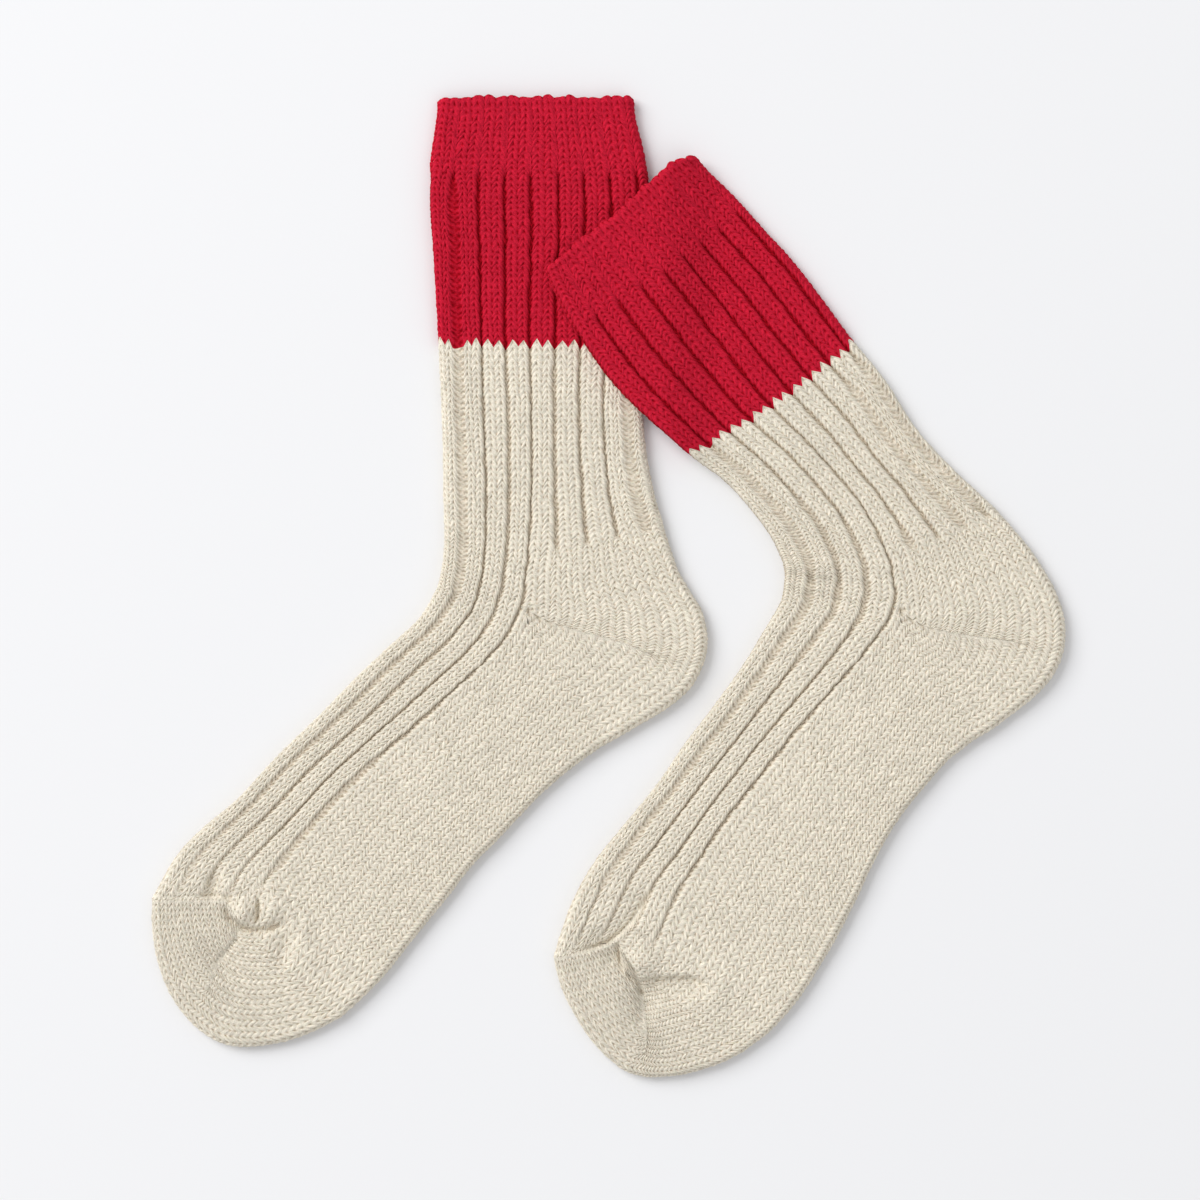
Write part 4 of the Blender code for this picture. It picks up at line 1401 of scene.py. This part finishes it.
    @staticmethod
    def share_gore(numbers: Array, at_gore: Array, gore_column: int) -> Array:
        """Point numbers of a grid, with those at the gore shared by both halves.

        Args:
            numbers: the grid's point numbers, a row for each row of points.
            at_gore: which of them lie at the gore.
            gore_column: the column of the grid that lies at the gore.
        """
        count = len(numbers)
        nearest = np.minimum(np.arange(count), count - 1 - np.arange(count))
        return np.where(at_gore, numbers[nearest, gore_column][:, None], numbers)

    def under_layer(self, shell: KnitShell, base: Array, offset: Array, edge_relief: Array) -> Array:
        """Points of the under layer, from beside the fold to the gore."""
        start = SAMPLING.pocket_flat
        flat = start + (1 - start) * np.linspace(0, 1, SAMPLING.pocket_columns)[1:]
        shares = np.concatenate((np.array(SAMPLING.fold_shares) * SAMPLING.pocket_fold, flat))
        wale = self.back_wale - shares * (self.back_wale - self.gore_wale(base))
        course = base + offset * beside_back(wale / self.back_wale)
        relief = edge_relief + np.zeros_like(wale)
        points = self.points(course, np.maximum(wale, self.gore_wale(course)), Layer.UNDER, relief, 0.0)
        numbers = shell.add(points, np.stack((wale, course + self.knitted), axis=-1), Face.UNDER)
        return self.share_gore(numbers, shares == shares[-1], -1)

    def inner_layers(self, shell: KnitShell) -> tuple[Array, Array]:
        """The plain inner faces of both layers."""
        base = np.linspace(0, self.courses, SAMPLING.pocket_inner_rows)
        flat = np.linspace(SAMPLING.pocket_flat, 1.0, SAMPLING.pocket_inner_columns)
        shares = np.concatenate((SAMPLING.pocket_inner_edge, flat))
        along = np.repeat(shares[None, :], len(base), axis=0)
        course = np.repeat(base[:, None], len(shares), axis=1)
        wale = self.back_wale - along * (self.back_wale - self.gore_wale(course))
        uv = np.stack((wale, course + self.knitted), axis=-1)
        upper, under = (self.share_gore(shell.add(
            self.spots(course, along, layer, np.zeros_like(along), FABRIC.wall), uv, Face.INNER),
            shares == shares[-1], -1) for layer in Layer)
        under = np.concatenate((upper[:, :1], under[:, 1:]), axis=1)
        shell.faces += grid_faces(upper) + grid_faces(under)
        return upper, under


class NodeSheet:
    """A node tree with short ways to add nodes and link them."""

    def __init__(self, tree: bpy.types.NodeTree) -> None:
        """Hold the tree."""
        self.tree = tree

    def feed(self, node: bpy.types.Node, inputs: dict[int | str, object]) -> None:
        """Set inputs of a node.

        Args:
            node: the node.
            inputs: for each input, a value, or an output that is linked to it.
        """
        for key, value in inputs.items():
            if isinstance(value, bpy.types.NodeSocket):
                self.tree.links.new(value, node.inputs[key])
            else:
                node.inputs[key].default_value = value

    def add(self, kind: str, inputs: dict[int | str, object] | None = None,
            **settings: object) -> bpy.types.Node:
        """Add a node.

        Args:
            kind: the node's type.
            inputs: its inputs, as for feed.
            settings: the node's own properties.

        Returns:
            The node.
        """
        node = self.tree.nodes.new(kind)
        for name, value in settings.items():
            setattr(node, name, value)
        self.feed(node, inputs or {})
        return node

    def maths(self, operation: str, *values: object) -> bpy.types.NodeSocket:
        """The result of a sum on numbers or outputs."""
        return self.add("ShaderNodeMath", dict(enumerate(values)), operation=operation).outputs[0]

    def multiply(self, colour: object, factor: object, tint: object) -> bpy.types.NodeSocket:
        """A colour multiplied by a tint, by a factor."""
        return self.add("ShaderNodeMix", {0: factor, 6: colour, 7: tint}, data_type="RGBA",
                        blend_type="MULTIPLY").outputs[2]

    def noise(self, place: object, scale: float, detail: float, roughness: float,
              distortion: float = 0.0) -> bpy.types.NodeSocket:
        """A noise texture's value at places."""
        return self.add("ShaderNodeTexNoise", {
            "Vector": place, "Scale": scale, "Detail": detail, "Roughness": roughness,
            "Distortion": distortion}).outputs["Fac"]


def new_group(name: str, inputs: dict[str, str], outputs: tuple[str, ...]) -> tuple[
        NodeSheet, bpy.types.NodeOutputs, bpy.types.Node]:
    """A shader node group with named sockets.

    Args:
        name: the group's name.
        inputs: the kind of each input, by name.
        outputs: the names of the outputs, which are all numbers.

    Returns:
        Its sheet, what it is given, and its output node.
    """
    tree = bpy.data.node_groups.new(name, "ShaderNodeTree")
    for socket, kind in inputs.items():
        tree.interface.new_socket(socket, in_out="INPUT", socket_type=f"NodeSocket{kind}")
    for socket in outputs:
        tree.interface.new_socket(socket, in_out="OUTPUT", socket_type="NodeSocketFloat")
    sheet = NodeSheet(tree)
    return sheet, sheet.add("NodeGroupInput").outputs, sheet.add("NodeGroupOutput")


def stitch_group() -> bpy.types.NodeTree:
    """A group that gives the height of knit stitches where the mesh has none."""
    sheet, given, result = new_group("knit_stitches", {"Place": "Vector", "Under": "Float"}, ("Height",))
    column, course, _ = sheet.add("ShaderNodeSeparateXYZ", {0: given["Place"]}).outputs
    cell = sheet.maths("FLOOR", sheet.maths("ADD", column, 0.5))
    reach = sheet.maths("MULTIPLY", sheet.maths("ABSOLUTE", sheet.maths("SUBTRACT", column, cell)), 2.0)
    slant = sheet.maths("MULTIPLY", reach, FABRIC.chevron)
    course = sheet.maths("SUBTRACT", course, sheet.maths("MULTIPLY", slant, given["Under"]))
    wave = sheet.maths("COSINE", sheet.maths("MULTIPLY", course, 2 * math.pi))
    leg = sheet.maths("MULTIPLY_ADD", wave, -0.5, 0.5)
    across = sheet.maths("POWER", sheet.maths("SINE", sheet.maths("MULTIPLY", reach, math.pi)), 0.6)
    on_leg = sheet.maths("MULTIPLY_ADD", leg, 1 - STITCH.between_legs, STITCH.between_legs)
    sheet.feed(result, {"Height": sheet.maths("MULTIPLY", across, on_leg)})
    return sheet.tree


def yarn_group() -> bpy.types.NodeTree:
    """A group that gives a spun yarn's fibres along each leg, its flecks and its patches of shade."""
    sheet, given, result = new_group(
        "spun_yarn", {"Place": "Vector", "Object": "Vector"}, ("Fibre", "Fleck", "Shade"))
    stretched = sheet.add("ShaderNodeMapping", {0: given["Place"], 3: (3.2, 7.5, 1.0)})
    ply = sheet.noise(stretched.outputs[0], 1.0, 3.0, 0.65, 0.5)
    fuzz = sheet.noise(given["Object"], 2600.0, 2.0, 0.7)
    sheet.feed(result, {
        "Fibre": sheet.maths("ADD", sheet.maths("MULTIPLY", ply, 0.65),
                             sheet.maths("MULTIPLY", fuzz, 0.35)),
        "Fleck": sheet.noise(given["Object"], 1100.0, 2.0, 0.6),
        "Shade": sheet.noise(given["Object"], 38.0, 2.0, 0.5),
    })
    return sheet.tree


@dataclass(frozen=True)
class YarnFinish:
    """A matte cotton yarn: its colour on crowns, and darkened by painted shade half way down and in pits.
    """

    slot: str
    crown: tuple[float, float, float]
    middle: tuple[float, float, float]
    pit: tuple[float, float, float]
    warm_fleck: tuple[float, float, float]
    cool_fleck: tuple[float, float, float]
    fleck: float
    gloss: float
    sheen: float
    roughness: float = 0.95
    sheen_roughness: float = 0.6
    tone_range: float = 0.14        # how much lighter one stitch's yarn is than another's
    fibre: tuple[float, float] = (2.5, 1.19)        # how strong the fibres are, and their level
    shade: tuple[float, float] = (0.10, 0.05)
    mesh_bump: float = 0.3          # share of the stitches' bump where the mesh has them itself
    bump: float = 0.8
    bump_height: float = 0.0004

    def light(self, sheet: NodeSheet, tone: object, spun: bpy.types.NodeOutputs) -> bpy.types.NodeSocket:
        """How light the yarn is at each place."""
        light = sheet.maths("MULTIPLY_ADD", tone, self.tone_range, 1 - self.tone_range)
        for name, (strength, level) in (("Fibre", self.fibre), ("Shade", self.shade)):
            light = sheet.maths("MULTIPLY_ADD", spun[name], strength,
                                sheet.maths("SUBTRACT", light, level))
        return light

    def build(self, stitches: bpy.types.NodeTree, yarn: bpy.types.NodeTree) -> bpy.types.Material:
        """Make the material.

        Args:
            stitches: the shared group for stitches that the mesh doesn't have.
            yarn: the shared group for spun yarn.

        Returns:
            The material.
        """
        material = bpy.data.materials.new(self.slot)
        material.use_nodes = True
        sheet = NodeSheet(material.node_tree)
        place = sheet.add("ShaderNodeUVMap", uv_map=UV_NAME).outputs[0]
        spot = sheet.add("ShaderNodeTexCoord").outputs["Object"]
        hollow, tone, under = (sheet.add("ShaderNodeAttribute", attribute_name=name).outputs["Fac"]
                               for name in FINISH_READS)
        stitch = sheet.add("ShaderNodeGroup", {"Place": place, "Under": under}, node_tree=stitches)
        spun = sheet.add("ShaderNodeGroup", {"Place": place, "Object": spot}, node_tree=yarn).outputs
        # painted shade: the colour darkens from crown to pit as the painted shade rises
        ramp = sheet.add("ShaderNodeValToRGB", {0: hollow})
        stops = ramp.color_ramp.elements
        for stop, position, colour in ((stops[0], 0.05, self.crown), (stops[1], 0.95, self.pit)):
            stop.position, stop.color = position, (*colour, 1.0)
        stops.new(0.45).color = (*self.middle, 1.0)
        colour = ramp.outputs[0]
        for limit, tint in ((0.75, self.warm_fleck), (0.25, self.cool_fleck)):
            share = sheet.add("ShaderNodeMapRange", {
                0: spun["Fleck"], 1: 0.5, 2: limit, 3: 0.0, 4: self.fleck})
            colour = sheet.multiply(colour, share.outputs[0], (*tint, 1.0))
        light = self.light(sheet, tone, spun)
        scaled = sheet.add("ShaderNodeVectorMath", {0: colour, "Scale": light}, operation="SCALE")
        raised = sheet.maths("MULTIPLY_ADD", under, 1 - self.mesh_bump, self.mesh_bump)
        height = sheet.maths("MULTIPLY_ADD", stitch.outputs[0], raised, spun["Fibre"])
        bump = sheet.add("ShaderNodeBump", {
            "Strength": self.bump, "Distance": self.bump_height, "Height": height})
        sheet.feed(material.node_tree.nodes["Principled BSDF"], {
            "Roughness": self.roughness, "Specular IOR Level": self.gloss, "Sheen Weight": self.sheen,
            "Sheen Roughness": self.sheen_roughness, "Base Color": scaled.outputs[0],
            "Normal": bump.outputs[0]})
        return material


# the middle and pit colours are the crown's colour darkened as painted shade
RED = YarnFinish(
    "red_knit", (0.585, 0.013, 0.038), (0.41, 0.003, 0.013), (0.22, 0.0004, 0.003),
    (1.0, 1.0, 1.0), (0.6, 0.4, 0.45), 0.9, 0.07, 0.0)
NATURAL = YarnFinish(
    "natural_knit", (0.825, 0.765, 0.645), (0.665, 0.585, 0.465), (0.36, 0.28, 0.19),
    (1.0, 0.93, 0.90), (0.94, 0.97, 0.90), 0.9, 0.15, 0.03)


@dataclass
class SockBuilder:
    """One dressed sock of the pair."""

    form: SockForm
    red: bpy.types.Material
    natural: bpy.types.Material
    cuff_rests_on: tuple[str, ...]

    def pieces(self) -> list[TubePiece | PocketPiece]:
        """The five pieces of the sock."""
        form = self.form
        leg_end, foot_end = form.shaft[-1].course, form.foot[-1].course
        colour = FABRIC.colour_course
        heel_in = CourseLines(form.shaft, np.array([leg_end]))
        heel_out = CourseLines(form.foot, np.array([0.0]))
        toe_line = CourseLines(form.foot, np.array([foot_end]))
        # the toe gets painted shade through its tone
        toe = PocketPiece(form, "toe", form.toe_gore, form.toe_edge,
                          (toe_line.back_half, lambda share: toe_line.front_half(1 - share)),
                          knitted=Stretch.FOOT.value + foot_end, holes=0.35, hole_rows=14.0,
                          corner_relief=FABRIC.plain_relief, shade=0.5)
        foot = TubePiece(form, "foot", Stretch.FOOT, 0.0, foot_end, Joint.ALL_BUT_BORDER, Joint.SOLE, toe)
        heel = PocketPiece(form, "heel", form.heel_gore, form.heel_edge,
                           (heel_in.back_half, heel_out.back_half), knitted=leg_end, holes=0.9,
                           hole_rows=8.0, corner_relief=FABRIC.rib_relief, onward=foot)
        return [
            TubePiece(form, "cuff", Stretch.SHAFT, 0.0, colour, Joint.STRAIGHT, Joint.ALL),
            TubePiece(form, "leg", Stretch.SHAFT, colour, leg_end, Joint.ALL, Joint.ALL_BUT_BORDER, heel),
            heel, foot, toe,
        ]

    @staticmethod
    def cut_size(piece: TubePiece | PocketPiece) -> tuple[float, float, float]:
        """The flat width and length of the knitting all round a piece, and its area, in metres."""
        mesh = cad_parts[piece.name].data
        area = sum(polygon.area for polygon in mesh.polygons) / 2
        return area / piece.length, piece.length, area

    def build(self) -> None:
        """Model and dress each piece, hide its solid and log its size."""
        for piece in self.pieces():
            made = piece.build()
            is_red = piece.part == "cuff"
            made.data.materials.append(self.red if is_red else self.natural)
            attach(made, "root")
            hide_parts(piece.name)
            width, length, area = self.cut_size(piece)
            rests_on = self.cuff_rests_on if is_red else ("floor",)
            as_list(rests_on)
            triangles = sum(len(polygon.vertices) - 2 for polygon in made.data.polygons)
            log.info("%s: %d triangles, cut %.0f x %.0f mm", made.name, triangles,
                     width / MM, length / MM)


@dataclass
class Studio:
    """A plain pale floor, soft light from the upper left and a camera straight above."""

    frame_width: float = 0.438      # what the view shows at the socks' height
    camera_x: float = -0.0032
    camera_y: float = -0.0045
    focus_height: float = 0.004
    lens: float = 100.0
    sensor: float = 36.0
    floor_size: float = 6.0
    floor_colour: tuple[float, ...] = (0.86, 0.861, 0.870, 1.0)
    surround_colour: tuple[float, ...] = (0.98, 0.985, 1.0, 1.0)
    surround_light: float = 0.585

    def floor(self) -> None:
        """The surface that the socks lie on."""
        bpy.ops.object.select_all(action="DESELECT")
        bpy.ops.mesh.primitive_plane_add(size=self.floor_size, location=(0, 0, 0))
        floor = bpy.context.active_object
        floor.name = "floor"
        material = bpy.data.materials.new("pale_paper")
        material.use_nodes = True
        NodeSheet(material.node_tree).feed(material.node_tree.nodes["Principled BSDF"], {
            "Base Color": self.floor_colour, "Roughness": 0.9, "Specular IOR Level": 0.1})
        floor.data.materials.append(material)

    @staticmethod
    def lamp(name: str, place: tuple[float, float, float], size: float, power: float) -> None:
        """A soft square lamp that faces the socks."""
        data = bpy.data.lights.new(name, "AREA")
        data.shape = "SQUARE"
        data.size = size
        data.energy = power
        lamp = bpy.data.objects.new(name, data)
        bpy.context.scene.collection.objects.link(lamp)
        lamp.location = place
        back = lamp.location.normalized()
        lamp.rotation_euler = back.to_track_quat("Z", "Y").to_euler()

    def light(self) -> None:
        """A large lamp on the upper left, a weak one opposite and a pale surround."""
        self.lamp("key_light", (-3.0, 2.1, 3.0), 3.0, 172.0)
        self.lamp("fill_light", (1.6, -1.4, 2.2), 2.2, 6.0)
        world = bpy.data.worlds.new("surround")
        world.use_nodes = True
        NodeSheet(world.node_tree).feed(world.node_tree.nodes["Background"], {
            "Color": self.surround_colour, "Strength": self.surround_light})
        bpy.context.scene.world = world

    def camera(self) -> None:
        """A camera straight above, which shows the photograph's frame."""
        data = bpy.data.cameras.new("camera")
        data.lens = self.lens
        data.sensor_width = self.sensor
        data.clip_start = 0.01
        bpy.context.scene.view_settings.view_transform = "Standard"
        camera = bpy.data.objects.new("camera", data)
        bpy.context.scene.collection.objects.link(camera)
        distance = self.frame_width * self.lens / self.sensor
        camera.location = (self.camera_x, self.camera_y, distance + self.focus_height)
        bpy.context.scene.camera = camera

    def build(self) -> None:
        """Set up floor, light and camera."""
        self.floor()
        self.light()
        self.camera()


def main() -> None:
    """Build the pair and its studio."""
    logging.basicConfig(level=logging.INFO, format="%(message)s")
    stitches, yarn = stitch_group(), yarn_group()
    red, natural = RED.build(stitches, yarn), NATURAL.build(stitches, yarn)
    under = SockForm("under", UNDER_SHAFT, UNDER_FOOT, UNDER_HEEL_GORE, UNDER_HEEL_EDGE,
                     UNDER_TOE_GORE, UNDER_TOE_EDGE, UNDER_SWELLS, UNDER_CREASES, UNDER_OPENINGS)
    carry = 2 * FABRIC.fold_radius + FABRIC.rib_relief + FABRIC.clearance
    over = SockForm("over", OVER_SHAFT, OVER_FOOT, OVER_HEEL_GORE, OVER_HEEL_EDGE,
                    OVER_TOE_GORE, OVER_TOE_EDGE, OVER_SWELLS, OVER_CREASES, OVER_OPENINGS,
                    carry_height=carry)
    SockBuilder(under, red, natural, ("floor",)).build()
    SockBuilder(over, red, natural, ("floor", "under_cuff_knit", "under_leg_knit")).build()
    Studio().build()


if __name__ == "__main__":
    main()
